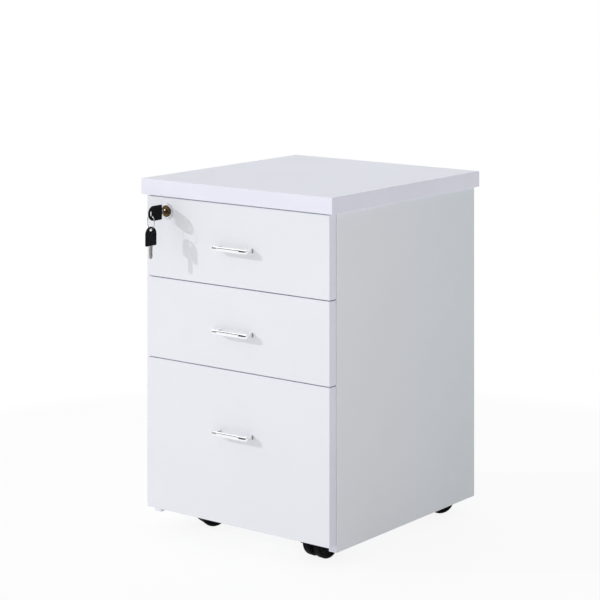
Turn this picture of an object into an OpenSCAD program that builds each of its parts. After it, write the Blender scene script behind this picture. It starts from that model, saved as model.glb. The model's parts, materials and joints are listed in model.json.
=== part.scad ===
// Rolling pedestal cabinet: a laminated board carcass on four twin-wheel
// casters, with two box drawers over one deep file drawer, a thick
// overhanging top, strap handles and a keyed central lock.
// Millimetres. X runs across the cabinet, +Y runs from the drawer fronts to
// the back, +Z is up. The origin is on the floor, at the bottom centre of
// the whole object's box.

/* [Cabinet] */
// Outside width across the two side panels
carcass_w = 400; // [392:1:420]
// Depth from the face of the drawer fronts to the back of the cabinet
carcass_d = 438; // [436:1:470]
// Height of the side panels
panel_h = 560; // [558:1:600]
// Thickness of the side, back and bottom boards
board_t = 16; // [15:0.5:18]
// Height of the side panels' lower edges above the floor
side_lift = 28; // [24:1:36]
// Height of the bottom board's underside above the floor
base_lift = 63; // [62:0.5:66]

/* [Top] */
// Thickness of the top
top_t = 28; // [22:1:32]
// Overhang of the top past each side panel
top_over_side = 9.5; // [2:0.5:20]
// Overhang of the top past the drawer fronts
top_over_front = 5.5; // [2:0.5:12]
// Overhang of the top past the back
top_over_back = 2.5; // [0:0.5:10]

/* [Drawer fronts] */
// Thickness of the drawer fronts
front_t = 18; // [16:0.5:20]
// Height of the file drawer's lower edge above the side panels' lower edges
front_low = 12; // [8:1:16]
// Height of the file drawer front
file_h = 263; // [258:1:266]
// Height of the middle drawer front
mid_h = 140; // [136:1:142]
// Gap between one drawer front and the next
gap = 1.5; // [1.5:0.5:3]
// Gap between the top drawer front and the underside of the top
top_gap = 2; // [2:0.5:4]
// Gap between the closed fronts and the side panels' front edges
shut_gap = 1; // [0.5:0.5:2]

/* [Drawer boxes] */
// Thickness of the drawer box boards
box_t = 12; // [10:1:13]
// Thickness of the drawer bottoms
box_bottom_t = 5; // [3:0.5:6]
// Length of the drawer boxes behind their fronts
box_l = 395; // [380:1:396]
// Height of the top drawer's box
box_top_h = 88; // [70:1:88]
// Height of the middle drawer's box
box_mid_h = 100; // [70:1:112]
// Height of the file drawer's box
box_file_h = 196; // [150:1:205]

/* [Drawer runners] */
// Height of a runner's cabinet member
runner_h = 45; // [42:1:46]
// Width of a runner, which is the space beside the drawer box
runner_w = 12.7; // [12.7:0.1:13]
// Length of a runner's cabinet and drawer members
runner_l = 390; // [370:5:390]
// Length of a runner's middle member
runner_mid_l = 378; // [340:2:384]

/* [Handles] */
// Width of a handle
handle_w = 78; // [74:1:110]
// Height of the handle strap
handle_h = 8; // [7:0.5:12]
// Thickness of the handle strap
handle_t = 4; // [3:0.5:5]
// Distance a handle stands out from its drawer front
handle_out = 20; // [18:1:30]
// Distance between a handle's two screws
handle_pitch = 70; // [62:1:70]
// Height of the top handle's centre above the side panels' lower edges
handle_top_z = 483.5; // [470:0.5:510]
// Height of the middle handle's centre above the side panels' lower edges
handle_mid_z = 341.5; // [310:0.5:360]
// Height of the file handle's centre above the side panels' lower edges
handle_file_z = 169; // [150:1:230]

/* [Lock] */
// Distance of the lock's axis from the cabinet's left side
lock_x = 47; // [45:0.5:48]
// Distance of the lock's axis below the underside of the top
lock_drop = 25.5; // [25:0.5:26]
// Radius of the lock's plug
plug_r = 7; // [6:0.5:7.5]
// Radius of the lock's collar
collar_r = 13; // [12:0.5:14]
// Length of a key's plastic bow
bow_l = 33; // [28:1:36]
// Height of a key's plastic bow
bow_h = 26; // [22:1:28]
// Thickness of a key's plastic bow
bow_t = 4.5; // [4:0.5:6]
// Length of a key's blade past its bow
blade_l = 23; // [21:1:24]
// Distance from the drawer front to the near end of the inserted key's bow
key_out = 15.5; // [12:0.5:16]
// Radius of the key ring, to the middle of its wire
ring_r = 12.6; // [12:0.2:14]

/* [Casters] */
// Radius of a wheel
wheel_r = 25; // [24:0.5:25.5]
// Width over a caster's two wheels
caster_w = 42; // [38:1:43]
// Distance of the wheels' axle behind the swivel axis
trail = 15; // [12:0.5:16]
// Distance of a swivel axis from the cabinet's side
stem_x = 63.5; // [63:0.5:80]
// Distance of the front swivel axes from the face of the drawer fronts
stem_front = 77; // [70:1:90]
// Distance of the rear swivel axes from the back
stem_back = 49; // [47:1:70]
// Heading of the front left caster
turn_fl = 333; // [0:1:360]
// Heading of the front right caster
turn_fr = 174; // [0:1:360]
// Heading of the rear left caster
turn_rl = 24; // [0:1:360]
// Heading of the rear right caster
turn_rr = 320; // [0:1:360]

/* [Hidden] */
$fn = 64;

// fits
slip = 0.05;    // radial clearance of a running fit
snug = 0.02;    // radial clearance of a screw, pin or dowel in its hole
overrun = 0.5;  // how far a cutting shape passes a face

// overall layout; depths are measured from the face of the drawer fronts
key_hole_u = 5.5;  // a key's hole, from its bow's outer end
key_reach = key_out + bow_l;
back_reach = carcass_d + top_over_back;
front_reach = key_reach - key_hole_u + bow_h / 2;
front_y = -(back_reach - front_reach) / 2;
half_w = carcass_w / 2;
in_w = half_w - board_t;
side_y0 = front_t + shut_gap;
under_top = side_lift + panel_h;
base_top = base_lift + board_t;
base_mid = base_lift + board_t / 2;
back_y0 = carcass_d - board_t;

// lower and upper edges of the drawer fronts
file_z0 = side_lift + front_low;
file_z1 = file_z0 + file_h;
mid_z0 = file_z1 + gap;
mid_z1 = mid_z0 + mid_h;
top_z0 = mid_z1 + gap;
top_z1 = under_top - top_gap;

// drawer boxes
box_half = in_w - runner_w;
box_end = front_t + box_l;
box_inset = 12;     // box above its front's lower edge
bottom_rise = 12;   // groove for the drawer bottom above the box's lower edge
groove = box_t / 2;
box_top_z = top_z0 + box_inset;
box_mid_z = mid_z0 + box_inset;
box_file_z = base_top + 5;

// runners: heights of the three pairs' centre lines
run_top_z = box_top_z + 35;
run_mid_z = box_mid_z + 40;
run_file_z = box_file_z + 75;
run_zs = [run_top_z, run_mid_z, run_file_z];
run_y0 = front_t + 2.5;
run_t = 1.2;     // steel thickness of the flanges
run_free = 0.2;  // gap between nested members
run_step = run_t + run_free;
run_screw_ys = [run_y0 + 62, run_y0 + 318];
drawer_screw_shift = 20;  // drawer members' screws behind the cabinet's

// wood screws of the cabinet and the drawer boxes
screw_r = 1.9;
screw_head_r = 3.5;
screw_head_h = 2;
screw_l = 12;
screw_tip = 3;
side_screw_l = 11;    // drawer members to the box sides
corner_screw_l = 24;  // box sides to the box back

// joinery
cam_ys = [78, carcass_d - 48];
cam_base_ys = [130, 330];
cam_in = 34;  // cam axis from the joint
cam_r = 7.5;
bolt_thread_r = 2.5;
bolt_r = 3;
dowel_r = 4;
dowel_l = 30;
dowel_in_side = 11;
dowel_in_top = 13;
base_dowel_ys = [60, 230, carcass_d - 33];
back_dowel_zs = [150, 320, 500];
top_dowel_ys = [125, 330];

// central lock: a bar slides up and down in a groove of the left side panel
lock_cx = -half_w + lock_x;
lock_z = under_top - lock_drop;
barrel_r = 9;
barrel_l = 25.8;
plug_face = 3.4;    // plug in front of the drawer front
collar_face = 3.6;  // collar in front of the drawer front
tail_r = 3.5;
crank_r = 8;
crank_pin_r = 2;
crank_side = crank_r * sin(45);  // crank pin left of and below the lock's axis
crank_z = lock_z - crank_side;
bar_y0 = 31;
bar_y1 = 49;
bar_deep = 6;
bar_free = 0.5;  // gap around the bar in its groove
bar_z0 = 118;
bar_z1 = under_top - 18;
lift_z0 = crank_z - 6.3;
lift_h = 12.5;
lift_t = 2;
crank_slot_free = 0.4;
stud_rise = 29;
stud_r = 3;
guide_t = 2;
guide_h = 12;
guide_side = 8.5;      // guide past each edge of the bar
guide_screw_side = 4;  // its screws past the bar's edges
guide_zs = [122, 290, run_top_z - runner_h / 2 - 18];

// keys
hole_half = 3.5;    // half length of the bow's hole
hole_end_r = 2.1;   // radius of the hole's round ends
blade_half_t = 1;
ring_wire = 0.7;
ring_z = lock_z - hole_half + 1.75 - ring_r;
ring_y = -key_reach + key_hole_u;
spare_top_z = ring_z - ring_r + 4.7;

// handles
foot_r = 4;
foot_l = 10;
bend_r = 7;
handle_screw_r = 1.95;
handle_screw_in = 8;  // screw in front of the drawer front
front_hole_r = 2.05;
machine_head_r = 4;
machine_head_h = 1.4;  // straight part of the head

// casters
plate_t = 2.5;
plate_half = 21.5;
plate_screw_side = 16;  // plate screws from the swivel axis, in X and in Y
pin_r = 4;
pin_l = 11;
web_t = 7;
axle_r = 3;
axle_half = 17;
hub_r = 12;
hood_gap = 0.7;
hood_t = 2;
boss_r = 10;
boss_z0 = wheel_r + 10;
boss_top = base_lift - plate_t - 1;
wheel_in = web_t / 2 + 0.7;  // inner and outer ends of a wheel along the axle
wheel_out = caster_w / 2;
stem_cx = half_w - stem_x;
stem_rear = carcass_d - stem_back;
stem_ys = [stem_front, stem_rear];

// colours shared by several nodes
side_colour = [0.78, 0.79, 0.8];
carcass_colour = [0.84, 0.85, 0.87];
front_colour = [0.90, 0.91, 0.93];
box_colour = [0.88, 0.88, 0.87];
key_colour = [0.08, 0.08, 0.09];

// ---------- helpers ----------
// moves y = 0 to the face of the drawer fronts
module deep() { translate([0, front_y, 0]) children(); }

// a board between two corners
module board(x0, x1, y0, y1, z0, z1) {
  translate([x0, y0, z0]) cube([x1 - x0, y1 - y0, z1 - z0]);
}

// bars along +Y, +X and +Z
module rod_y(start, radius, length) {
  translate(start) rotate([-90, 0, 0]) cylinder(h = length, r = radius);
}
module rod_x(start, radius, length) {
  translate(start) rotate([0, 90, 0]) cylinder(h = length, r = radius);
}
module rod_z(start, radius, length) { translate(start) cylinder(h = length, r = radius); }

// its children, and their mirror image in the cabinet's middle plane
module both() {
  children();
  mirror([1, 0, 0]) children();
}

// moves x = 0 to a side panel's inner face, with +X towards the drawers
module at_left() { translate([-in_w, 0, 0]) children(); }
module at_right() { mirror([1, 0, 0]) at_left() children(); }

// cross-shaped cutter for a driver, rising from z = 0
module cross_slot(length, width, deep) {
  for (size = [[length, width], [width, length]])
    translate([-size[0] / 2, -size[1] / 2, 0]) cube([size[0], size[1], deep]);
}

// ---------- screws ----------
// wood screws: the head stands on z = 0 and the shank points down
module head_slot() { translate([0, 0, screw_head_h - 1]) cross_slot(4, 0.8, 2); }
module wood_screw() {
  difference() {
    union() {
      rod_z([0, 0, -screw_l + screw_tip], screw_r, screw_l - screw_tip + 1);
      translate([0, 0, -screw_l]) cylinder(h = screw_tip, r1 = 0.5, r2 = screw_r);
      cylinder(h = screw_head_h * 0.5, r = screw_head_r);
      translate([0, 0, screw_head_h * 0.5])
        cylinder(h = screw_head_h * 0.5, r1 = screw_head_r, r2 = screw_head_r - 1);
    }
    head_slot();
  }
}
module wood_hole() { rod_z([0, 0, -screw_l - 0.4], screw_r + snug, screw_l + 0.4 + overrun); }

// screw with a flat end and a flat head
module flat_screw(length, head_h) {
  difference() {
    union() {
      rod_z([0, 0, -length], screw_r, length + 0.5);
      cylinder(h = head_h, r = screw_head_r);
    }
    head_slot();
  }
}
module side_screw_hole() {
  rod_z([0, 0, -side_screw_l - 0.2], screw_r + snug, side_screw_l + 1.2);
}
// hole with a recess for the head
module corner_screw_hole() {
  rod_z([0, 0, -corner_screw_l - 0.3], screw_r + snug, corner_screw_l + 1);
  rod_z([0, 0, 0], screw_head_r + 0.05, 4);
}

// screw along Y through a drawer front into a handle's foot
module machine_screw() {
  slot_y = front_t + machine_head_h;
  difference() {
    union() {
      rod_y([0, -handle_screw_in, 0], handle_screw_r, front_t + handle_screw_in + 0.5);
      rod_y([0, front_t, 0], machine_head_r, machine_head_h);
      translate([0, slot_y, 0]) rotate([-90, 0, 0])
        cylinder(h = 1, r1 = machine_head_r, r2 = machine_head_r - 1);
    }
    translate([0, slot_y, 0]) rotate([-90, 0, 0]) cross_slot(4.4, 0.8, 2);
  }
}

// ---------- cam fittings and dowels ----------
// cam bolt across a joint at z = 0: the thread points up
module cam_bolt() {
  rod_z([0, 0, -0.5], bolt_thread_r, 11.5);
  rod_z([0, 0, -31], bolt_r, 31);
  // neck and head
  rod_z([0, 0, -34.5], 1.8, 4);
  rod_z([0, 0, -36.5], bolt_r, 2.5);
}
module cam_bolt_holes() {
  rod_z([0, 0, -overrun], bolt_thread_r + snug, 11.2 + overrun);
  rod_z([0, 0, -cam_in], bolt_r + snug, cam_in + overrun);
}
// cam disc, its face at x = -board_t / 2 and its axis along X
module cam_disc() {
  difference() {
    rod_x([-board_t / 2, 0, -cam_in], cam_r, 12);
    // channel for the bolt's head
    translate([-4, -3.5, -cam_in - 3.5]) cube([12, 7, cam_r + 12]);
    translate([-board_t / 2 - 1, 0, -cam_in]) rotate([0, 90, 0]) cross_slot(8, 1.4, 2.6);
  }
}
module cam_pocket() {
  rod_x([-board_t / 2 - overrun, 0, -cam_in], cam_r + snug, 12.3 + overrun);
}

// places of the fittings on the right: under the top, and at the end of the bottom board
module cams_at_top() {
  for (y = cam_ys) translate([half_w - board_t / 2, y, under_top]) children();
}
module cams_at_base() {
  for (y = cam_base_ys) translate([in_w, y, base_mid]) rotate(a = 180, v = [1, 0, 1]) children();
}
module cams() {
  cams_at_top() children();
  cams_at_base() children();
}

// dowels on the right; a hole's radius grows by fit, and its ends by ten times as much
module side_dowel(y, z, fit) {
  rod_x([in_w + dowel_in_side - dowel_l - fit * 10, y, z], dowel_r + fit, dowel_l + fit * 20);
}
module base_dowels(fit) { for (y = base_dowel_ys) side_dowel(y, base_mid, fit); }
module back_dowels(fit) { for (z = back_dowel_zs) side_dowel(carcass_d - board_t / 2, z, fit); }
module top_dowels(fit) {
  for (y = top_dowel_ys)
    rod_z([half_w - board_t / 2, y, under_top + dowel_in_top - dowel_l - fit * 10],
          dowel_r + fit, dowel_l + fit * 20);
}
module dowels(fit) {
  base_dowels(fit);
  back_dowels(fit);
  top_dowels(fit);
}

// ---------- runners ----------
// runners are drawn on the left, with the cabinet's wall at x = 0
// channel along Y: xs and hollow_xs are [from, to], and the hollow runs past both ends
module channel(xs, hollow_xs, y0, length, z, half_h, past) {
  hollow_half = half_h - run_t;
  difference() {
    board(xs[0], xs[1], y0, y0 + length, z - half_h, z + half_h);
    board(hollow_xs[0], hollow_xs[1], y0 - past, y0 + length + past,
          z - hollow_half, z + hollow_half);
  }
}
module runner_outer(z) {
  difference() {
    channel([0, 10.8], [run_t, 12], run_y0, runner_l, z, runner_h / 2, overrun);
    for (y = run_screw_ys) rod_x([-overrun, y, z], screw_r + snug, 3);
  }
}
module runner_middle(z) {
  difference() {
    channel([4, 11.2], [5, 12], run_y0 + 2, runner_mid_l, z, runner_h / 2 - run_step, 2);
    // access holes for the cabinet screws
    for (y = run_screw_ys) rod_x([3, y, z], 5, 3);
  }
}
module runner_inner(z) {
  difference() {
    channel([6, runner_w], [5, runner_w - 1], run_y0, runner_l, z,
            runner_h / 2 - 2 * run_step, overrun);
    for (y = run_screw_ys)
      rod_x([runner_w - 3, y + drawer_screw_shift, z], screw_r + snug, 4);
  }
}
// bent tab of the left drawer member, which the raised lock bar catches
module lock_tab(z) {
  tab_top = z + 46;
  board(runner_w - 1, runner_w, 38, 56, z + runner_h / 2 - 2 * run_step - 1, tab_top);
  board(3, runner_w, 44, 45.5, z + 34.5, tab_top);
}
module wall_screws(z) {
  for (y = run_screw_ys) translate([run_t, y, z]) rotate([0, 90, 0]) children();
}
module drawer_screw_places(z) {
  for (y = run_screw_ys)
    translate([runner_w - 1, y + drawer_screw_shift, z]) rotate([0, -90, 0]) children();
}

// ---------- cabinet ----------
module top_panel() color([0.87, 0.88, 0.91]) deep() difference() {
  board(-half_w - top_over_side, half_w + top_over_side, -top_over_front, back_reach,
        under_top, under_top + top_t);
  both() {
    cams_at_top() cam_bolt_holes();
    top_dowels(snug);
  }
}

module side_right_body() difference() {
  board(in_w, half_w, side_y0, carcass_d, side_lift, under_top);
  cams_at_top() cam_pocket();
  cams() cam_bolt_holes();
  dowels(snug);
  for (z = run_zs) at_right() wall_screws(z) wood_hole();
}
module side_panel_right() color(side_colour) deep() side_right_body();
module side_panel_left() color(side_colour) deep() difference() {
  mirror([1, 0, 0]) side_right_body();
  // groove of the lock bar
  board(-in_w - bar_deep - bar_free, -in_w + overrun, bar_y0 - bar_free, bar_y1 + bar_free,
        bar_z0 - 6, under_top + overrun);
  guide_screws() wood_hole();
}

module back_panel() color(carcass_colour) deep() difference() {
  board(-in_w, in_w, back_y0, carcass_d, base_lift, under_top);
  both() back_dowels(snug);
}

module bottom_panel() color(carcass_colour) deep() difference() {
  board(-in_w, in_w, side_y0, back_y0, base_lift, base_top);
  both() {
    cams_at_base() {
      cam_pocket();
      cam_bolt_holes();
    }
    base_dowels(snug);
    plate_screws() wood_hole();
  }
}

module carcass_dowels() color([0.80, 0.66, 0.45]) deep() both() dowels(0);
module cam_discs() color([0.72, 0.72, 0.7]) deep() both() cams() cam_disc();
module cam_bolts() color([0.75, 0.75, 0.72]) deep() both() cams() cam_bolt();

module runner_cabinet_members() color([0.72, 0.74, 0.76]) deep()
  for (z = run_zs) both() at_left() runner_outer(z);

// places of the screws through the lock bar's guides
module guide_screws() {
  for (z = guide_zs, y = [bar_y0 - guide_screw_side, bar_y1 + guide_screw_side])
    translate([-in_w + guide_t, y, z + guide_h / 2]) rotate([0, 90, 0]) children();
}
// places of the screws through the right-hand caster plates
module plate_screws() {
  for (y = stem_ys, dx = [-1, 1] * plate_screw_side, dy = [-1, 1] * plate_screw_side)
    translate([stem_cx + dx, y + dy, base_lift - plate_t]) rotate([180, 0, 0]) children();
}
module cabinet_screws() color([0.7, 0.7, 0.68]) deep() {
  for (z = run_zs) both() at_left() wall_screws(z) wood_screw();
  guide_screws() wood_screw();
  both() plate_screws() wood_screw();
}

module lock_bar_guides() color([0.93, 0.93, 0.92]) deep() difference() {
  for (z = guide_zs)
    board(-in_w, -in_w + guide_t, bar_y0 - guide_side, bar_y1 + guide_side, z, z + guide_h);
  guide_screws() rod_z([0, 0, -4], screw_r + snug, 5);
}

// fixed mounting plates, each with its swivel pin
module caster_plates() color([0.3, 0.3, 0.31]) deep() both() for (y = stem_ys) difference() {
  union() {
    board(stem_cx - plate_half, stem_cx + plate_half, y - plate_half, y + plate_half,
          base_lift - plate_t, base_lift);
    rod_z([stem_cx, y, base_lift - plate_t - pin_l], pin_r, pin_l + 0.5);
  }
  for (dx = [-1, 1] * plate_screw_side, dy = [-1, 1] * plate_screw_side)
    rod_z([stem_cx + dx, y + dy, base_lift - plate_t - overrun], screw_r + snug,
          plate_t + 2 * overrun);
}

// ---------- central lock ----------
module lock_bar() color([0.75, 0.76, 0.77]) deep() difference() {
  union() {
    board(-in_w - bar_deep, -in_w - 0.3, bar_y0, bar_y1, bar_z0, bar_z1);
    // lifter plate that the lock's crank pin moves
    board(-in_w - bar_deep, lock_cx - 0.5, bar_y0, bar_y0 + lift_t, lift_z0, lift_z0 + lift_h);
    // studs that stop the drawers
    for (z = run_zs) rod_x([-in_w - 2, (bar_y0 + bar_y1) / 2, z + stud_rise], stud_r, 11);
  }
  // slot for the crank pin
  board(lock_cx - 10.6, lock_cx - 3, bar_y0 - 1, bar_y0 + lift_t + 1,
        crank_z - crank_pin_r - crank_slot_free, crank_z + crank_pin_r + crank_slot_free);
}

// barrel and collar: [radius, distance in front of the drawer front]
module lock_housing() color([0.80, 0.81, 0.83]) deep()
  translate([lock_cx, 0, lock_z]) rotate([90, 0, 0]) rotate_extrude() polygon([
    [plug_r + slip, -barrel_l], [barrel_r, -barrel_l], [barrel_r, 0], [collar_r, 0],
    [collar_r, 2.4], [collar_r - 1.2, collar_face], [plug_r + slip, collar_face]]);

module lock_nut() color([0.72, 0.73, 0.74]) deep()
  translate([lock_cx, front_t, lock_z]) rotate([-90, 0, 0]) difference() {
    cylinder(h = 4, r = 12.7, $fn = 6);
    rod_z([0, 0, -1], barrel_r + snug, 6);
  }

module lock_plug() color([0.62, 0.47, 0.28]) deep() translate([lock_cx, 0, lock_z]) difference() {
  union() {
    rod_y([0, -plug_face, 0], plug_r, 26 + plug_face);
    rod_y([0, 25, 0], tail_r, 4);
  }
  // keyway
  board(-1.1, 1.1, -4, 11, -4.2, 4.2);
}

// driver disc on the plug's tail, with its crank pin at the lower left
module lock_driver() color([0.72, 0.72, 0.72]) deep()
  translate([lock_cx, 0, lock_z]) difference() {
    union() {
      rod_y([0, 26.05, 0], 10.5, 2);
      rod_y([-crank_side, 27, -crank_side], crank_pin_r, 9.5);
    }
    rod_y([0, 25, 0], tail_r + snug, 4);
  }

// A key lies in the XY plane; points are [u, v], with u along the key from the
// bow's outer end and v across it.
// bow: a half circle, then two bevelled corners at the blade
function bow_pts() = concat(
  [for (a = [90:9:270]) [bow_h / 2 * (1 + cos(a)), (bow_h / 2) * sin(a)]],
  [[bow_l - 1.5, -bow_h / 2 + 0.8], [bow_l, -bow_h / 2 + 2.3],
   [bow_l, bow_h / 2 - 2.3], [bow_l - 1.5, bow_h / 2 - 0.8]]);
// blade: the plain edge and tip, then six cuts back towards the bow
function blade_pts() = concat(
  [[bow_l - 4, 4], [bow_l - 4, -4], [bow_l + blade_l - 3, -4],
   [bow_l + blade_l, -0.5], [bow_l + blade_l, 0.5], [bow_l + blade_l - 2.5, 3]],
  [for (i = [5:-1:0]) each [
    [bow_l + 3.2 + i * 3, 3.2 - (i % 2) * 0.6],
    [bow_l + 1.8 + i * 3, 1.9 - (i % 3) * 0.4]]],
  [[bow_l + 1, 4]]);
module bow_hole() {
  straight_half = hole_half - hole_end_r;
  translate([key_hole_u - hole_end_r, -straight_half])
    square([2 * hole_end_r, 2 * straight_half]);
  for (side = [-1, 1]) translate([key_hole_u, side * straight_half]) circle(r = hole_end_r);
}
module key_shape() {
  difference() {
    union() {
      translate([0, 0, -bow_t / 2]) linear_extrude(height = bow_t) polygon(bow_pts());
      translate([0, 0, -blade_half_t])
        linear_extrude(height = 2 * blade_half_t) polygon(blade_pts());
    }
    translate([0, 0, -bow_t]) linear_extrude(height = 2 * bow_t) bow_hole();
  }
}

// u runs into the lock and v runs up
module lock_key() color(key_colour) deep()
  translate([lock_cx, -key_reach, lock_z]) rotate([0, 0, 90]) rotate([90, 0, 0]) key_shape();

module key_ring() color([0.75, 0.76, 0.78]) deep()
  translate([lock_cx, ring_y, ring_z]) rotate([0, 0, -20]) rotate([90, 0, 0])
    rotate_extrude() translate([ring_r, 0]) circle(r = ring_wire, $fn = 32);

// u runs down and v runs towards the back
module spare_key() color(key_colour) deep()
  translate([lock_cx, ring_y, spare_top_z]) rotate([0, 90, 0]) key_shape();

// ---------- drawer parts ----------
// groove around the drawer bottom, in the sides and the front
module bottom_slot(box_z) {
  slot_half = box_half - groove + 0.2;
  slot_z = box_z + bottom_rise;
  board(-slot_half, slot_half, front_t - 6, box_end + 1, slot_z, slot_z + box_bottom_t + 0.2);
}

module front_board(z0, z1, box_z, handle_z) difference() {
  board(-half_w, half_w, 0, front_t, z0, z1);
  for (side = [-1, 1])
    rod_y([side * handle_pitch / 2, -overrun, side_lift + handle_z], front_hole_r,
          front_t + 2 * overrun);
  bottom_slot(box_z);
}

// places of the screws through the sides into the box back, two on each side
module corner_screws(box_z, box_h) {
  for (z = [box_z + 32, box_z + box_h - 14])
    both() translate([box_half - screw_head_h, box_end - box_t / 2, z])
      rotate([0, 90, 0]) children();
}

module box_sides(box_z, box_h, run_z) color(box_colour) deep() difference() {
  both() board(box_half - box_t, box_half, front_t, box_end, box_z, box_z + box_h);
  bottom_slot(box_z);
  both() at_left() drawer_screw_places(run_z) side_screw_hole();
  corner_screws(box_z, box_h) corner_screw_hole();
}

module box_back(box_z, box_h) color(box_colour) deep() difference() {
  board(-box_half + box_t, box_half - box_t, box_end - box_t, box_end,
        box_z + bottom_rise + box_bottom_t + 0.3, box_z + box_h);
  corner_screws(box_z, box_h) corner_screw_hole();
}

module box_bottom(box_z) color([0.90, 0.90, 0.89]) deep() {
  z0 = box_z + bottom_rise + 0.1;
  board(-box_half + groove, box_half - groove, front_t - 5.8, box_end, z0, z0 + box_bottom_t);
}

// outline of a strap bent at its two outer corners, reaching out towards -Y
module strap_outline(half, out, radius) {
  translate([-half, -out + radius]) square([2 * half, out - radius + 5]);
  translate([-half + radius, -out]) square([2 * (half - radius), radius + 0.01]);
  for (side = [-1, 1]) translate([side * (half - radius), -out + radius]) circle(r = radius);
}
// strap handle: one bent strip with a round foot at each end
module handle(handle_z) color([0.85, 0.86, 0.88]) deep()
  translate([0, 0, side_lift + handle_z]) difference() {
    union() {
      translate([0, 0, -handle_h / 2]) linear_extrude(height = handle_h) difference() {
        strap_outline(handle_w / 2, handle_out, bend_r);
        strap_outline(handle_w / 2 - handle_t, handle_out - handle_t, 3);
        translate([-handle_w, 0]) square([2 * handle_w, 10]);
      }
      for (side = [-1, 1]) rod_y([side * handle_pitch / 2, -foot_l, 0], foot_r, foot_l);
    }
    for (side = [-1, 1])
      rod_y([side * handle_pitch / 2, -handle_screw_in - 0.6, 0], handle_screw_r + snug,
            handle_screw_in + 1.6);
  }

module drawer_screws(box_z, box_h, run_z, handle_z) color([0.72, 0.72, 0.7]) deep() {
  for (side = [-1, 1])
    translate([side * handle_pitch / 2, 0, side_lift + handle_z]) machine_screw();
  both() at_left() drawer_screw_places(run_z) flat_screw(side_screw_l, screw_head_h);
  corner_screws(box_z, box_h) flat_screw(corner_screw_l, screw_head_h - 0.2);
}

module runner_members(z) color([0.74, 0.76, 0.78]) deep() {
  both() at_left() runner_inner(z);
  at_left() lock_tab(z);
}
module runner_middles(z) color([0.70, 0.72, 0.74]) deep() both() at_left() runner_middle(z);

// ---------- top drawer ----------
module drawer_top_front() color(front_colour) deep() difference() {
  front_board(top_z0, top_z1, box_top_z, handle_top_z);
  rod_y([lock_cx, -overrun, lock_z], barrel_r + slip, front_t + 2 * overrun);
}
module drawer_top_box_sides() box_sides(box_top_z, box_top_h, run_top_z);
module drawer_top_box_back() box_back(box_top_z, box_top_h);
module drawer_top_box_bottom() box_bottom(box_top_z);
module drawer_top_handle() handle(handle_top_z);
module drawer_top_screws() drawer_screws(box_top_z, box_top_h, run_top_z, handle_top_z);
module drawer_top_runner_members() runner_members(run_top_z);
module drawer_top_runner_middles() runner_middles(run_top_z);

// ---------- middle drawer ----------
module drawer_middle_front() color(front_colour) deep()
  front_board(mid_z0, mid_z1, box_mid_z, handle_mid_z);
module drawer_middle_box_sides() box_sides(box_mid_z, box_mid_h, run_mid_z);
module drawer_middle_box_back() box_back(box_mid_z, box_mid_h);
module drawer_middle_box_bottom() box_bottom(box_mid_z);
module drawer_middle_handle() handle(handle_mid_z);
module drawer_middle_screws() drawer_screws(box_mid_z, box_mid_h, run_mid_z, handle_mid_z);
module drawer_middle_runner_members() runner_members(run_mid_z);
module drawer_middle_runner_middles() runner_middles(run_mid_z);

// ---------- file drawer ----------
module drawer_file_front() color(front_colour) deep()
  front_board(file_z0, file_z1, box_file_z, handle_file_z);
module drawer_file_box_sides() box_sides(box_file_z, box_file_h, run_file_z);
module drawer_file_box_back() box_back(box_file_z, box_file_h);
module drawer_file_box_bottom() box_bottom(box_file_z);
module drawer_file_handle() handle(handle_file_z);
module drawer_file_screws() drawer_screws(box_file_z, box_file_h, run_file_z, handle_file_z);
module drawer_file_runner_members() runner_members(run_file_z);
module drawer_file_runner_middles() runner_middles(run_file_z);

// ---------- casters ----------
// a caster's own frame: swivel axis on Z, axle along X at y = trail
module at_caster(side, y, turn) {
  deep() translate([side * stem_cx, y, 0]) rotate([0, 0, turn]) children();
}
module at_fl() { at_caster(-1, stem_front, turn_fl) children(); }
module at_fr() { at_caster(1, stem_front, turn_fr) children(); }
module at_rl() { at_caster(-1, stem_rear, turn_rl) children(); }
module at_rr() { at_caster(1, stem_rear, turn_rr) children(); }

// cutters: the space of the wheels, and everything below a height
module wheel_space() {
  rod_x([-caster_w, trail, wheel_r], wheel_r + hood_gap, 2 * caster_w);
}
module space_below(z, half) {
  translate([-half, trail - 40, -20]) cube([2 * half, 80, z + 20]);
}

module hood() color([0.07, 0.07, 0.08]) difference() {
  union() {
    // arched cover over the wheels
    difference() {
      rod_x([-caster_w / 2 + 0.5, trail, wheel_r], wheel_r + hood_gap + hood_t, caster_w - 1);
      wheel_space();
      space_below(wheel_r, caster_w);
    }
    // swivel boss above the cover
    difference() {
      rod_z([0, 0, boss_z0], boss_r, boss_top - boss_z0);
      wheel_space();
    }
    // web between the wheels
    difference() {
      rod_x([-web_t / 2, trail, wheel_r], wheel_r + hood_gap + 0.5, web_t);
      space_below(wheel_r - 8, web_t);
    }
    rod_x([-web_t / 2, trail, wheel_r], hub_r, web_t);
  }
  rod_z([0, 0, base_lift - plate_t - pin_l - 0.5], pin_r + slip, 20);
  rod_x([-caster_w, trail, wheel_r], axle_r + snug, 2 * caster_w);
}

module axle() color([0.7, 0.7, 0.72])
  rod_x([-axle_half, trail, wheel_r], axle_r, 2 * axle_half);

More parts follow.
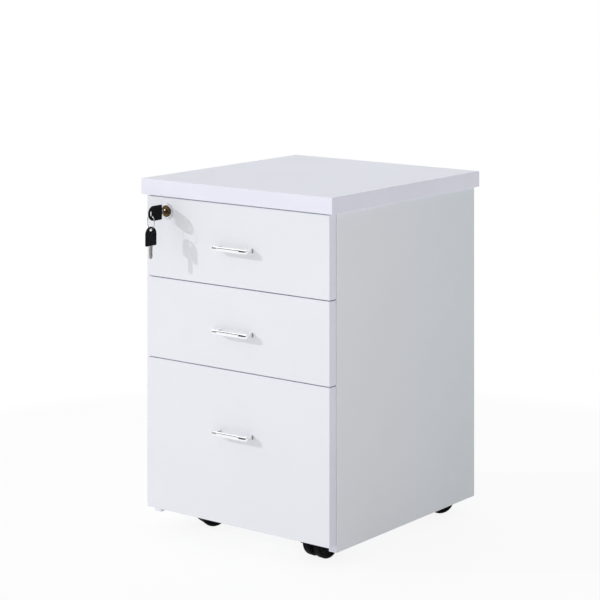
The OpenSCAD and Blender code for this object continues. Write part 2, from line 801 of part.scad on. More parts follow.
// wheel on the +X side: [radius, distance along the axle]
module wheel_right() color([0.09, 0.09, 0.1])
  translate([0, trail, wheel_r]) rotate([0, 90, 0]) difference() {
    rotate_extrude($fn = 96) polygon([
      // inner face and edge
      [0, wheel_in], [wheel_r - 3, wheel_in], [wheel_r - 1, wheel_in + 0.8],
      // tread and rounded outer edge
      [wheel_r, wheel_in + 3], [wheel_r, wheel_out - 5], [wheel_r - 0.8, wheel_out - 2.6],
      [wheel_r - 2.6, wheel_out - 1.2], [wheel_r - 5, wheel_out - 0.6],
      // dished outer face and hub
      [wheel_r - 6, wheel_out - 2], [11, wheel_out - 2.6], [9.5, wheel_out - 1],
      [7, wheel_out - 0.2], [0, wheel_out]]);
    rod_z([0, 0, wheel_in - 1], axle_r + slip, axle_half - wheel_in + 1.4);
  }
module wheel_left() mirror([1, 0, 0]) wheel_right();

module caster_fl_hood() at_fl() hood();
module caster_fl_axle() at_fl() axle();
module caster_fl_wheel_left() at_fl() wheel_left();
module caster_fl_wheel_right() at_fl() wheel_right();
module caster_fr_hood() at_fr() hood();
module caster_fr_axle() at_fr() axle();
module caster_fr_wheel_left() at_fr() wheel_left();
module caster_fr_wheel_right() at_fr() wheel_right();
module caster_rl_hood() at_rl() hood();
module caster_rl_axle() at_rl() axle();
module caster_rl_wheel_left() at_rl() wheel_left();
module caster_rl_wheel_right() at_rl() wheel_right();
module caster_rr_hood() at_rr() hood();
module caster_rr_axle() at_rr() axle();
module caster_rr_wheel_left() at_rr() wheel_left();
module caster_rr_wheel_right() at_rr() wheel_right();

// ---------- drawing ----------
top_panel();
side_panel_left();
side_panel_right();
back_panel();
bottom_panel();
carcass_dowels();
cam_discs();
cam_bolts();
runner_cabinet_members();
cabinet_screws();
lock_bar_guides();
caster_plates();
lock_bar();
drawer_top_front();
drawer_top_box_sides();
drawer_top_box_back();
drawer_top_box_bottom();
drawer_top_handle();
drawer_top_screws();
drawer_top_runner_members();
drawer_top_runner_middles();
drawer_middle_front();
drawer_middle_box_sides();
drawer_middle_box_back();
drawer_middle_box_bottom();
drawer_middle_handle();
drawer_middle_screws();
drawer_middle_runner_members();
drawer_middle_runner_middles();
drawer_file_front();
drawer_file_box_sides();
drawer_file_box_back();
drawer_file_box_bottom();
drawer_file_handle();
drawer_file_screws();
drawer_file_runner_members();
drawer_file_runner_middles();
lock_housing();
lock_nut();
lock_plug();
lock_driver();
lock_key();
key_ring();
spare_key();
caster_fl_hood();
caster_fl_axle();
caster_fl_wheel_left();
caster_fl_wheel_right();
caster_fr_hood();
caster_fr_axle();
caster_fr_wheel_left();
caster_fr_wheel_right();
caster_rl_hood();
caster_rl_axle();
caster_rl_wheel_left();
caster_rl_wheel_right();
caster_rr_hood();
caster_rr_axle();
caster_rr_wheel_left();
caster_rr_wheel_right();
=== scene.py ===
import json
import math
import random

import bmesh
import bpy
import numpy as np
from mathutils import Matrix, Vector

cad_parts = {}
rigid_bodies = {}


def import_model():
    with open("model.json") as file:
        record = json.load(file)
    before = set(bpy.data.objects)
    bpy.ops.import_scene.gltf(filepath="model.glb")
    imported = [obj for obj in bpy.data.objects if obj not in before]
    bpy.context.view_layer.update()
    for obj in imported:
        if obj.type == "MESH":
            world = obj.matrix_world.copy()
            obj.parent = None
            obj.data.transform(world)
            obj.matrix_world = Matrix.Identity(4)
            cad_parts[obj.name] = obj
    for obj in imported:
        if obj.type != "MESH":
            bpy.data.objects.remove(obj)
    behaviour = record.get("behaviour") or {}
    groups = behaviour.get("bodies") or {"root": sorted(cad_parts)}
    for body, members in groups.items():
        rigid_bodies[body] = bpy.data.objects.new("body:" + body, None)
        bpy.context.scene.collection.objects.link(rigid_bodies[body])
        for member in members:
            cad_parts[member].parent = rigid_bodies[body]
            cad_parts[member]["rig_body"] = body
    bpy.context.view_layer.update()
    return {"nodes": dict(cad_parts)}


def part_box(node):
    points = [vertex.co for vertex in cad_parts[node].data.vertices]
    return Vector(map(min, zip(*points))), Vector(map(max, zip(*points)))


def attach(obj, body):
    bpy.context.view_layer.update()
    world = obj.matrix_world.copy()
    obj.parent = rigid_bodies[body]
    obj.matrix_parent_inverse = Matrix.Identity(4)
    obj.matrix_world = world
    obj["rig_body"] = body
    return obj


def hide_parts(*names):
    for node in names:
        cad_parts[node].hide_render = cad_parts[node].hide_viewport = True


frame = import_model()
random.seed(7)

NODES = frame["nodes"]
SCENE = bpy.context.scene
MM = 0.001
FACE_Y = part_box("drawer_file_front")[0].y  # face of the drawer fronts


def body_of(node):
    return NODES[node]["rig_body"]


def lin(r, g, b):
    """Display colour, 0 to 255, as linear light."""
    return tuple((c / 255 / 12.92) if c <= 10 else ((c / 255 + 0.055) / 1.055) ** 2.4 for c in (r, g, b))


# ---------------------------------------------------------------- materials


class Net:
    """A material's node tree, built with short calls."""

    def __init__(self, name):
        self.mat = bpy.data.materials.new(name)
        self.mat.use_nodes = True
        self.t = self.mat.node_tree
        self.t.nodes.clear()
        out = self.node("ShaderNodeOutputMaterial")
        self.bsdf = self.node("ShaderNodeBsdfPrincipled")
        self.t.links.new(self.bsdf.outputs[0], out.inputs[0])
        self.out = out
        self.coord = self.node("ShaderNodeTexCoord").outputs["Object"]

    def node(self, kind, **props):
        n = self.t.nodes.new(kind)
        for k, v in props.items():
            setattr(n, k, v)
        return n

    def put(self, socket, v):
        if isinstance(v, bpy.types.NodeSocket):
            self.t.links.new(v, socket)
        elif isinstance(v, tuple) and len(v) == 3 and socket.type == "RGBA":
            socket.default_value = (*v, 1.0)
        else:
            socket.default_value = v

    def math(self, op, a, b=0.0, clamp=False):
        n = self.node("ShaderNodeMath", operation=op, use_clamp=clamp)
        self.put(n.inputs[0], a)
        self.put(n.inputs[1], b)
        return n.outputs[0]

    def mix(self, f, a, b):
        n = self.node("ShaderNodeMix", data_type="RGBA")
        self.put(n.inputs[0], f)
        self.put(n.inputs[6], a)
        self.put(n.inputs[7], b)
        return n.outputs[2]

    def mixf(self, f, a, b):
        n = self.node("ShaderNodeMix", data_type="FLOAT")
        self.put(n.inputs[0], f)
        self.put(n.inputs[2], a)
        self.put(n.inputs[3], b)
        return n.outputs[0]

    def span(self, v, a, b, c=0.0, d=1.0, smooth=False):
        n = self.node("ShaderNodeMapRange", interpolation_type="SMOOTHSTEP" if smooth else "LINEAR")
        self.put(n.inputs[0], v)
        for i, x in enumerate((a, b, c, d)):
            n.inputs[i + 1].default_value = x
        return n.outputs[0]

    def scaled(self, xyz):
        n = self.node("ShaderNodeMapping")
        self.put(n.inputs["Vector"], self.coord)
        n.inputs["Scale"].default_value = xyz
        return n.outputs[0]

    def noise(self, scale, detail=3.0, rough=0.5, vec=None, distort=0.0):
        n = self.node("ShaderNodeTexNoise")
        self.put(n.inputs["Vector"], vec or self.coord)
        n.inputs["Scale"].default_value = scale
        n.inputs["Detail"].default_value = detail
        n.inputs["Roughness"].default_value = rough
        n.inputs["Distortion"].default_value = distort
        return n.outputs[0]

    def cells(self, scale, vec=None, feature="F1", random_=1.0):
        n = self.node("ShaderNodeTexVoronoi", feature=feature)
        self.put(n.inputs["Vector"], vec or self.coord)
        n.inputs["Scale"].default_value = scale
        n.inputs["Randomness"].default_value = random_
        return n.outputs[0]

    def edge(self, radius, samples=4):
        """(rounded normal, 0 to 1 mask that is 1 along convex and concave edges)."""
        b = self.node("ShaderNodeBevel", samples=samples)
        b.inputs["Radius"].default_value = radius
        g = self.node("ShaderNodeNewGeometry")
        d = self.node("ShaderNodeVectorMath", operation="DOT_PRODUCT")
        self.t.links.new(b.outputs[0], d.inputs[0])
        self.t.links.new(g.outputs["Normal"], d.inputs[1])
        return b.outputs[0], self.span(d.outputs["Value"], 0.999, 0.90)

    def bump(self, height, depth, normal=None):
        """height is 0 to 1 and depth is its size in metres."""
        n = self.node("ShaderNodeBump")
        n.inputs["Strength"].default_value = 1.0
        n.inputs["Distance"].default_value = depth
        self.put(n.inputs["Height"], height)
        if normal is not None:
            self.put(n.inputs["Normal"], normal)
        return n.outputs[0]

    def finish(self, color, rough, metal=0.0, normal=None, spec=0.5, coat=0.0, coat_rough=0.1, sheen=0.0, aniso=0.0):
        i = self.bsdf.inputs
        self.put(i["Base Color"], color)
        self.put(i["Roughness"], rough)
        self.put(i["Metallic"], metal)
        i["Specular IOR Level"].default_value = spec
        i["Coat Weight"].default_value = coat
        i["Coat Roughness"].default_value = coat_rough
        i["Anisotropic"].default_value = aniso
        if normal is not None:
            self.put(i["Normal"], normal)
        return self.mat


def laminate(name, color, rough=0.36, spec=0.42, cast=None, wear=0.22, depth=1.1e-5, edge_r=0.0009, back=None):
    """White melamine: a faint pearl texture, slow changes of tone, small handling marks, edges that have lost some of
    their gloss, and, when back is given, painted shade that darkens the tone from the front of the cabinet to its back.
    """
    n = Net(name)
    cast = cast or tuple(c * 0.965 for c in color)
    slow = n.noise(3.1, 4.0, 0.55)
    mid = n.noise(21.0, 4.0, 0.6)
    base = n.mix(n.span(slow, 0.32, 0.70), color, cast)
    if back:  # painted shade: the tone darkens towards this colour from the front of the cabinet to its back, standing in for light that falls off
        s = n.node("ShaderNodeSeparateXYZ")
        n.put(s.inputs[0], n.coord)
        base = n.mix(n.math("MULTIPLY", n.span(s.outputs[1], FACE_Y, FACE_Y + 0.44), 1.0), base, n.mix(n.span(slow, 0.32, 0.70), back, tuple(c * 0.98 for c in back)))
    base = n.mix(n.math("MULTIPLY", n.span(mid, 0.52, 0.74), 0.28), base, tuple(c * f for c, f in zip(color, (0.955, 0.955, 0.965))))
    # sparse scuffs
    scuff = n.noise(9.0, 6.0, 0.72, vec=n.scaled((1.0, 1.0, 4.5)), distort=0.6)
    scuff = n.span(scuff, 0.66, 0.74)
    base = n.mix(n.math("MULTIPLY", scuff, 0.10), base, tuple(c * 0.86 for c in color))
    normal, rim = n.edge(edge_r)
    rim = n.math("MULTIPLY", rim, n.span(n.noise(160.0, 4.0, 0.65), 0.38, 0.66), clamp=True)
    base = n.mix(n.math("MULTIPLY", rim, wear), base, tuple(c * f for c, f in zip(color, (0.80, 0.80, 0.83))))
    pearl = n.math("ADD", n.math("MULTIPLY", n.noise(1150.0, 2.0, 0.5), 0.65), n.math("MULTIPLY", n.cells(760.0), 0.35))
    r = n.math("ADD", rough, n.math("MULTIPLY", n.math("SUBTRACT", mid, 0.5), 0.16))
    r = n.math("ADD", r, n.math("MULTIPLY", n.math("SUBTRACT", pearl, 0.5), 0.08))
    r = n.math("ADD", r, n.math("MULTIPLY", scuff, 0.10))
    r = n.math("ADD", r, n.math("MULTIPLY", rim, 0.12), clamp=True)
    wave = n.math("MULTIPLY", n.noise(14.0, 2.0, 0.4), 1.0)
    bump = n.bump(pearl, depth, n.bump(wave, 6e-5, normal))
    return n.finish(base, r, normal=bump, spec=spec)


def edge_strip(name, color):
    """Plastic edge strip: smoother than the laminate, with the fine lines of the trimming tool."""
    n = Net(name)
    slow = n.noise(7.0, 3.0, 0.5)
    base = n.mix(n.span(slow, 0.3, 0.7), color, tuple(c * 0.95 for c in color))
    normal, rim = n.edge(0.0009)
    chips = n.span(n.noise(230.0, 5.0, 0.7), 0.50, 0.66)
    rim = n.math("MULTIPLY", rim, chips, clamp=True)
    base = n.mix(n.math("MULTIPLY", rim, 0.30), base, tuple(c * f for c, f in zip(color, (0.78, 0.77, 0.76))))
    lines = n.noise(900.0, 2.0, 0.5, vec=n.scaled((0.08, 0.08, 0.08)))
    fine = n.noise(1300.0, 2.0, 0.5)
    r = n.math("ADD", 0.33, n.math("MULTIPLY", n.math("SUBTRACT", lines, 0.5), 0.14))
    r = n.math("ADD", r, n.math("MULTIPLY", rim, 0.2), clamp=True)
    bump = n.bump(n.math("ADD", n.math("MULTIPLY", lines, 0.5), n.math("MULTIPLY", fine, 0.5)), 0.9e-5, normal)
    return n.finish(base, r, normal=bump, spec=0.45)


def chrome(name):
    """Polished plating over a bent strap: slight flow in the polish, fine wiping marks, cloudier bends and edges, a
    painted dark reflection on the outside of the legs near the foot, and a painted dark reflection line along the outer
    face.
    """
    n = Net(name)
    smear = n.noise(40.0, 4.0, 0.6)
    wipe = n.noise(520.0, 3.0, 0.6, vec=n.scaled((0.06, 1.0, 1.0)))
    normal, rim = n.edge(0.0006)
    base = n.mix(n.span(smear, 0.35, 0.70), lin(252, 252, 253), lin(243, 244, 247))
    s = n.node("ShaderNodeSeparateXYZ")
    n.put(s.inputs[0], n.coord)
    # painted reflection: the outward faces of the legs darken near the foot
    foot = n.span(s.outputs[1], FACE_Y - 0.0050, FACE_Y - 0.0012, smooth=True)
    g = n.node("ShaderNodeSeparateXYZ")
    n.put(g.inputs[0], n.node("ShaderNodeNewGeometry").outputs["Normal"])
    outward = n.math("MULTIPLY", g.outputs[0], n.math("SIGN", s.outputs[0]))
    foot = n.math("MULTIPLY", foot, n.span(outward, 0.15, 0.55))
    base = n.mix(n.math("MULTIPLY", foot, n.mixf(n.span(smear, 0.3, 0.7), 0.80, 0.95)), base, lin(112, 114, 119))
    # painted reflection: a dark line along the middle of the outer face, deepest toward the bends
    off = 1.0
    for d in ("top", "middle", "file"):
        lo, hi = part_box(f"drawer_{d}_handle")
        off = n.math("MINIMUM", off, n.math("ABSOLUTE", n.math("SUBTRACT", s.outputs[2], (lo.z + hi.z) / 2 + 0.0006)))
    x = s.outputs[0]
    right = n.math("MULTIPLY", n.span(x, 0.0225, 0.0240), n.span(x, 0.0378, 0.0362))
    left = n.math("MULTIPLY", n.span(x, -0.0240, -0.0275), 0.6)
    line = n.math("MULTIPLY", n.span(off, 0.0013, 0.0006), n.math("MAXIMUM", right, left))
    base = n.mix(line, base, lin(58, 60, 64))
    rim = n.math("MULTIPLY", rim, n.span(n.noise(600.0, 4.0, 0.6), 0.40, 0.64), clamp=True)
    base = n.mix(n.math("MULTIPLY", rim, 0.30), base, lin(198, 200, 204))
    r = n.math("ADD", 0.06, n.math("MULTIPLY", n.span(smear, 0.40, 0.75), 0.09))
    r = n.math("ADD", r, n.math("MULTIPLY", n.span(wipe, 0.5, 0.8), 0.05))
    r = n.math("ADD", r, n.math("MULTIPLY", rim, 0.15), clamp=True)
    bump = n.bump(wipe, 0.4e-5, n.bump(n.noise(90.0, 2.0, 0.5), 2.2e-5, normal))
    return n.finish(base, r, metal=1.0, normal=bump)


def metal(name, color, cast, rough, *, stretch=(1.0, 1.0, 1.0), line=0.05, depth=0.8e-5, blot=30.0, wear=None, wear_amt=0.5, edge_r=0.0004, spangle=0.0):
    """Plated or rolled metal: blotchy plating, rolling lines, and brighter or darker edges."""
    n = Net(name)
    blotch = n.noise(blot, 4.0, 0.6)
    lines = n.noise(700.0, 3.0, 0.6, vec=n.scaled(stretch))
    base = n.mix(n.span(blotch, 0.32, 0.68), color, cast)
    if spangle:
        grain = n.cells(190.0)
        base = n.mix(n.math("MULTIPLY", n.span(grain, 0.1, 0.8), spangle), base, tuple(c * 0.78 for c in color))
    normal, rim = n.edge(edge_r)
    rim = n.math("MULTIPLY", rim, n.span(n.noise(420.0, 4.0, 0.65), 0.36, 0.64), clamp=True)
    base = n.mix(n.math("MULTIPLY", rim, wear_amt), base, wear or tuple(min(1.0, c * 1.25) for c in color))
    r = n.math("ADD", rough, n.math("MULTIPLY", n.math("SUBTRACT", blotch, 0.5), 0.22))
    r = n.math("ADD", r, n.math("MULTIPLY", n.math("SUBTRACT", lines, 0.5), 2 * line))
    r = n.math("SUBTRACT", r, n.math("MULTIPLY", rim, 0.10), clamp=True)
    bump = n.bump(lines, depth, normal)
    return n.finish(base, r, metal=1.0, normal=bump)


def plastic(name, color, cast, rough, *, grain=1500.0, depth=1.6e-5, wear=None, wear_amt=0.35, edge_r=0.0007, spec=0.5, dust=0.0):
    """Moulded plastic: a spark-eroded grain, slow flow marks, rubbed edges, and a little dust on its upper faces."""
    n = Net(name)
    flow = n.noise(26.0, 4.0, 0.6)
    base = n.mix(n.span(flow, 0.3, 0.7), color, cast)
    normal, rim = n.edge(edge_r)
    rim = n.math("MULTIPLY", rim, n.span(n.noise(310.0, 5.0, 0.7), 0.36, 0.62), clamp=True)
    base = n.mix(n.math("MULTIPLY", rim, wear_amt), base, wear or tuple(min(1.0, c * 2.2 + 0.02) for c in color))
    fine = n.math("ADD", n.math("MULTIPLY", n.noise(grain, 3.0, 0.6), 0.6), n.math("MULTIPLY", n.cells(grain * 0.7), 0.4))
    r = n.math("ADD", rough, n.math("MULTIPLY", n.math("SUBTRACT", flow, 0.5), 0.2))
    r = n.math("ADD", r, n.math("MULTIPLY", n.math("SUBTRACT", fine, 0.5), 0.12))
    if dust:
        g = n.node("ShaderNodeNewGeometry")
        s = n.node("ShaderNodeSeparateXYZ")
        n.t.links.new(g.outputs["Normal"], s.inputs[0])
        up = n.span(s.outputs[2], 0.35, 1.0)
        d = n.math("MULTIPLY", up, n.span(n.noise(120.0, 5.0, 0.7), 0.35, 0.75))
        d = n.math("MULTIPLY", d, dust)
        base = n.mix(d, base, (0.30, 0.29, 0.27))
        r = n.math("ADD", r, n.math("MULTIPLY", d, 0.5))
    r = n.math("ADD", r, n.math("MULTIPLY", rim, -0.08), clamp=True)
    bump = n.bump(fine, depth, normal)
    return n.finish(base, r, normal=bump, spec=spec)


def beech(name):
    n = Net(name)
    grain = n.noise(260.0, 5.0, 0.6, vec=n.scaled((0.10, 1.0, 1.0)), distort=0.5)
    fleck = n.noise(900.0, 2.0, 0.5, vec=n.scaled((0.2, 1.0, 1.0)))
    base = n.mix(n.span(grain, 0.3, 0.7), (0.62, 0.43, 0.24), (0.47, 0.30, 0.15))
    base = n.mix(n.math("MULTIPLY", n.span(fleck, 0.55, 0.75), 0.5), base, (0.33, 0.19, 0.09))
    normal, rim = n.edge(0.0005)
    base = n.mix(n.math("MULTIPLY", rim, 0.3), base, (0.70, 0.54, 0.34))
    r = n.math("ADD", 0.62, n.math("MULTIPLY", n.math("SUBTRACT", grain, 0.5), 0.2))
    return n.finish(base, r, normal=n.bump(grain, 4e-5, normal), spec=0.3)


# painted light and shade: the top, the fronts and the sides are one white laminate, and their colours are set lighter,
# darker or bluer to stand in for the light that falls on each face
WHITE_TOP = (0.868, 0.892, 0.965)
WHITE_FRONT = (0.822, 0.836, 0.876)
WHITE_SIDE = (0.854, 0.858, 0.905)
WHITE_SIDE_PAINTED_BACK_SHADE = (0.734, 0.782, 0.818)
WHITE_EDGE = (0.830, 0.832, 0.930)

M = {
    "laminate_top": laminate("laminate_top", WHITE_TOP, rough=0.40, spec=0.35),
    "laminate_front": laminate("laminate_front", WHITE_FRONT, rough=0.42, spec=0.35),
    "laminate_carcass": laminate("laminate_carcass", WHITE_SIDE, rough=0.42, spec=0.35, back=WHITE_SIDE_PAINTED_BACK_SHADE),
    "edge_strip": edge_strip("edge_strip", WHITE_EDGE),
    "drawer_board": laminate("drawer_board", (0.80, 0.80, 0.79), rough=0.46, spec=0.3),
    "drawer_bottom_board": laminate("drawer_bottom_board", (0.83, 0.83, 0.815), rough=0.5, spec=0.3, depth=2e-5),
    "handle_chrome": chrome("handle_chrome"),
    "zinc_screw": metal("zinc_screw", (0.70, 0.71, 0.70), (0.60, 0.60, 0.55), 0.30, blot=90.0, wear=(0.42, 0.42, 0.41), edge_r=0.0003),
    "runner_steel": metal("runner_steel", (0.66, 0.68, 0.70), (0.55, 0.57, 0.59), 0.30, stretch=(1.0, 0.03, 1.0), line=0.08, spangle=0.35, edge_r=0.0004),
    "beech_dowel": beech("beech_dowel"),
    "cam_zinc": metal("cam_zinc", (0.55, 0.55, 0.53), (0.45, 0.45, 0.43), 0.45, blot=120.0, depth=2e-5, edge_r=0.0003),
    "guide_plastic": plastic("guide_plastic", (0.78, 0.78, 0.76), (0.72, 0.72, 0.70), 0.45, wear=(0.6, 0.6, 0.58)),
    "caster_plate_steel": metal("caster_plate_steel", (0.40, 0.41, 0.43), (0.30, 0.31, 0.32), 0.38, spangle=0.3, wear=(0.60, 0.61, 0.62)),
    "lock_bar_aluminium": metal("lock_bar_aluminium", (0.76, 0.77, 0.78), (0.68, 0.69, 0.70), 0.32, stretch=(1.0, 1.0, 0.04), line=0.10),
    "lock_chrome": metal("lock_chrome", (0.72, 0.73, 0.76), (0.60, 0.61, 0.64), 0.20, blot=140.0, line=0.04, wear=(0.38, 0.38, 0.40), edge_r=0.0004),
    "lock_brass": metal("lock_brass", (0.170, 0.098, 0.042), (0.085, 0.047, 0.020), 0.40, blot=220.0, line=0.06, wear=(0.50, 0.35, 0.17), wear_amt=0.6, edge_r=0.0004),
    "key_black": plastic("key_black", (0.0035, 0.0035, 0.0045), (0.0060, 0.0060, 0.0070), 0.46, grain=1400.0, wear=(0.030, 0.030, 0.031), spec=0.07),
    "key_steel": metal("key_steel", (0.40, 0.38, 0.36), (0.27, 0.255, 0.24), 0.28, blot=300.0, line=0.08, wear=(0.80, 0.78, 0.72), edge_r=0.0003),
    "ring_steel": metal("ring_steel", (0.46, 0.46, 0.47), (0.33, 0.33, 0.34), 0.20, blot=300.0, line=0.05, wear=(0.34, 0.34, 0.35), edge_r=0.0002),
    "caster_nylon": plastic("caster_nylon", (0.0016, 0.0017, 0.0028), (0.0032, 0.0033, 0.0046), 0.44, grain=1100.0, wear=(0.018, 0.018, 0.021), spec=0.035, dust=0.008),
    "axle_steel": metal("axle_steel", (0.55, 0.56, 0.58), (0.45, 0.46, 0.48), 0.28),
    "wheel_nylon": plastic("wheel_nylon", (0.0020, 0.0021, 0.0032), (0.0040, 0.0041, 0.0054), 0.38, grain=900.0, wear=(0.022, 0.022, 0.025), wear_amt=0.4, spec=0.045, dust=0.008),
    "tread": plastic("tread", (0.0036, 0.0036, 0.0044), (0.0072, 0.0070, 0.0072), 0.55, grain=420.0, depth=6e-5, wear=(0.030, 0.029, 0.029), wear_amt=0.5, spec=0.05),
}

# ---------------------------------------------------------------- mesh helpers


def add(name, bm, body, mats, node=None, angle=32.0, weighted=False):
    """Puts a finished bmesh in the scene on a CAD body. Edges sharper than the angle stay crisp."""
    limit = math.radians(angle)
    for f in bm.faces:
        f.smooth = True
    for e in bm.edges:
        e.smooth = not (len(e.link_faces) == 2 and e.calc_face_angle(0.0) > limit)
    me = bpy.data.meshes.new(name)
    bm.to_mesh(me)
    bm.free()
    ob = bpy.data.objects.new(name, me)
    SCENE.collection.objects.link(ob)
    for m in mats:
        me.materials.append(M[m])
    if weighted:
        w = ob.modifiers.new("weighted", "WEIGHTED_NORMAL")
        w.keep_sharp = True
        w.weight = 80
    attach(ob, body)
    if node:
        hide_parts(*([node] if isinstance(node, str) else node))
    return ob


def board(node, slot, thin, edge="edge_strip", r=0.7, seg=3):
    """A board with the CAD's own outline and holes, its arrises rounded by r mm, and its narrow faces covered by edge strip."""
    bm = bmesh.new()
    bm.from_mesh(NODES[node].data)
    bmesh.ops.remove_doubles(bm, verts=bm.verts, dist=4e-6)
    bmesh.ops.dissolve_limit(bm, angle_limit=math.radians(0.4), use_dissolve_boundaries=False, verts=bm.verts, edges=bm.edges)
    bm.normal_update()
    lo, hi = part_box(node)
    picked = []
    for e in bm.edges:
        if len(e.link_faces) != 2 or not e.is_convex:
            continue
        d = e.verts[1].co - e.verts[0].co
        if d.length < 4 * MM or sorted(abs(c) / d.length for c in d)[2] < 0.99999:
            continue
        if abs(e.calc_face_angle(0.0) - math.pi / 2) > 0.02:
            continue
        mid = (e.verts[0].co + e.verts[1].co) / 2
        sides = sum(min(abs(mid[i] - lo[i]), abs(mid[i] - hi[i])) < 1e-5 for i in range(3))
        if sides >= (2 if "box_sides" not in node else 1):
            picked.append(e)
    bmesh.ops.bevel(bm, geom=picked, offset=r * MM, offset_type="OFFSET", segments=seg, profile=0.5, affect="EDGES", clamp_overlap=True)
    bmesh.ops.triangulate(bm, faces=[f for f in bm.faces if len(f.verts) > 4])
    bm.normal_update()
    for f in bm.faces:
        n = f.normal
        f.material_index = 0 if abs(n[thin]) > 0.9 else 1
        if f.material_index == 1:
            c = f.calc_center_median()
            inside = all(lo[i] + 2 * r * MM < c[i] < hi[i] - 2 * r * MM for i in range(3))
            if inside:  # holes and grooves
                f.material_index = 0
    return add(node + "_board", bm, body_of(node), [slot, edge], node, weighted=True)


def ring_faces(bm, a, b, closed=True, mat=0):
    n = len(a)
    for i in range(n if closed else n - 1):
        j = (i + 1) % n
        f = bm.faces.new((a[i], a[j], b[j], b[i]))
        f.material_index = mat


def lathe(bm, profile, place, seg=96, mats=None, caps=(True, True)):
    """Turns (radius, along) points, in mm, about local Z, and puts them where the matrix says."""
    loops = []
    for rad, h in profile:
        if rad < 1e-6:
            loops.append([bm.verts.new(place @ Vector((0, 0, h * MM)))])
        else:
            loops.append([bm.verts.new(place @ Vector((rad * MM * math.cos(2 * math.pi * k / seg), rad * MM * math.sin(2 * math.pi * k / seg), h * MM))) for k in range(seg)])
    for k, (a, b) in enumerate(zip(loops, loops[1:])):
        m = mats[k] if mats else 0
        if len(a) == 1 and len(b) == 1:
            continue
        if len(a) == 1:
            for i in range(seg):
                bm.faces.new((a[0], b[i], b[(i + 1) % seg])).material_index = m
        elif len(b) == 1:
            for i in range(seg):
                bm.faces.new((a[i], a[(i + 1) % seg], b[0])).material_index = m
        else:
            ring_faces(bm, a, b, mat=m)
    if caps[0] and len(loops[0]) > 1:
        bm.faces.new(loops[0])
    if caps[1] and len(loops[-1]) > 1:
        bm.faces.new(loops[-1])
    return loops


def fillet(points, radii, steps=5):
    """An open or closed polyline in mm with its inner corners rounded."""
    out = []
    n = len(points)
    for i, (p, r) in enumerate(zip(points, radii)):
        p = Vector(p)
        if r <= 0 or i in (0, n - 1):
            out.append(p)
            continue
        a, b = Vector(points[i - 1]), Vector(points[(i + 1) % n])
        u, v = (a - p).normalized(), (b - p).normalized()
        half = u.angle(v) / 2
        t = min(r / math.tan(half), (a - p).length * 0.49, (b - p).length * 0.49)
        s, e = p + u * t, p + v * t
        c = p + (u + v).normalized() * (t / math.cos(half))
        a0 = math.atan2(s.y - c.y, s.x - c.x)
        a1 = math.atan2(e.y - c.y, e.x - c.x)
        while a1 - a0 > math.pi:
            a1 -= 2 * math.pi
        while a1 - a0 < -math.pi:
            a1 += 2 * math.pi
        rr = (s - c).length
        for k in range(steps + 1):
            q = a0 + (a1 - a0) * k / steps
            out.append(Vector((c.x + rr * math.cos(q), c.y + rr * math.sin(q))))
    return out


def solid(bm):
    bmesh.ops.remove_doubles(bm, verts=bm.verts, dist=1e-7)
    bmesh.ops.recalc_face_normals(bm, faces=bm.faces)
    bm.normal_update()
    return bm


# ---------------------------------------------------------------- boards

board("top_panel", "laminate_top", 2, r=1.0, seg=4)
board("side_panel_left", "laminate_carcass", 0)
board("side_panel_right", "laminate_carcass", 0)
board("back_panel", "laminate_carcass", 1)
board("bottom_panel", "laminate_carcass", 2)
for d in ("top", "middle", "file"):
    board(f"drawer_{d}_front", "laminate_front", 1, r=0.8)
    board(f"drawer_{d}_box_sides", "drawer_board", 0, edge="drawer_board", r=0.5, seg=2)
    board(f"drawer_{d}_box_back", "drawer_board", 1, edge="drawer_board", r=0.5, seg=2)
    board(f"drawer_{d}_box_bottom", "drawer_bottom_board", 2, edge="drawer_bottom_board", r=0.3, seg=2)

# ---------------------------------------------------------------- handles


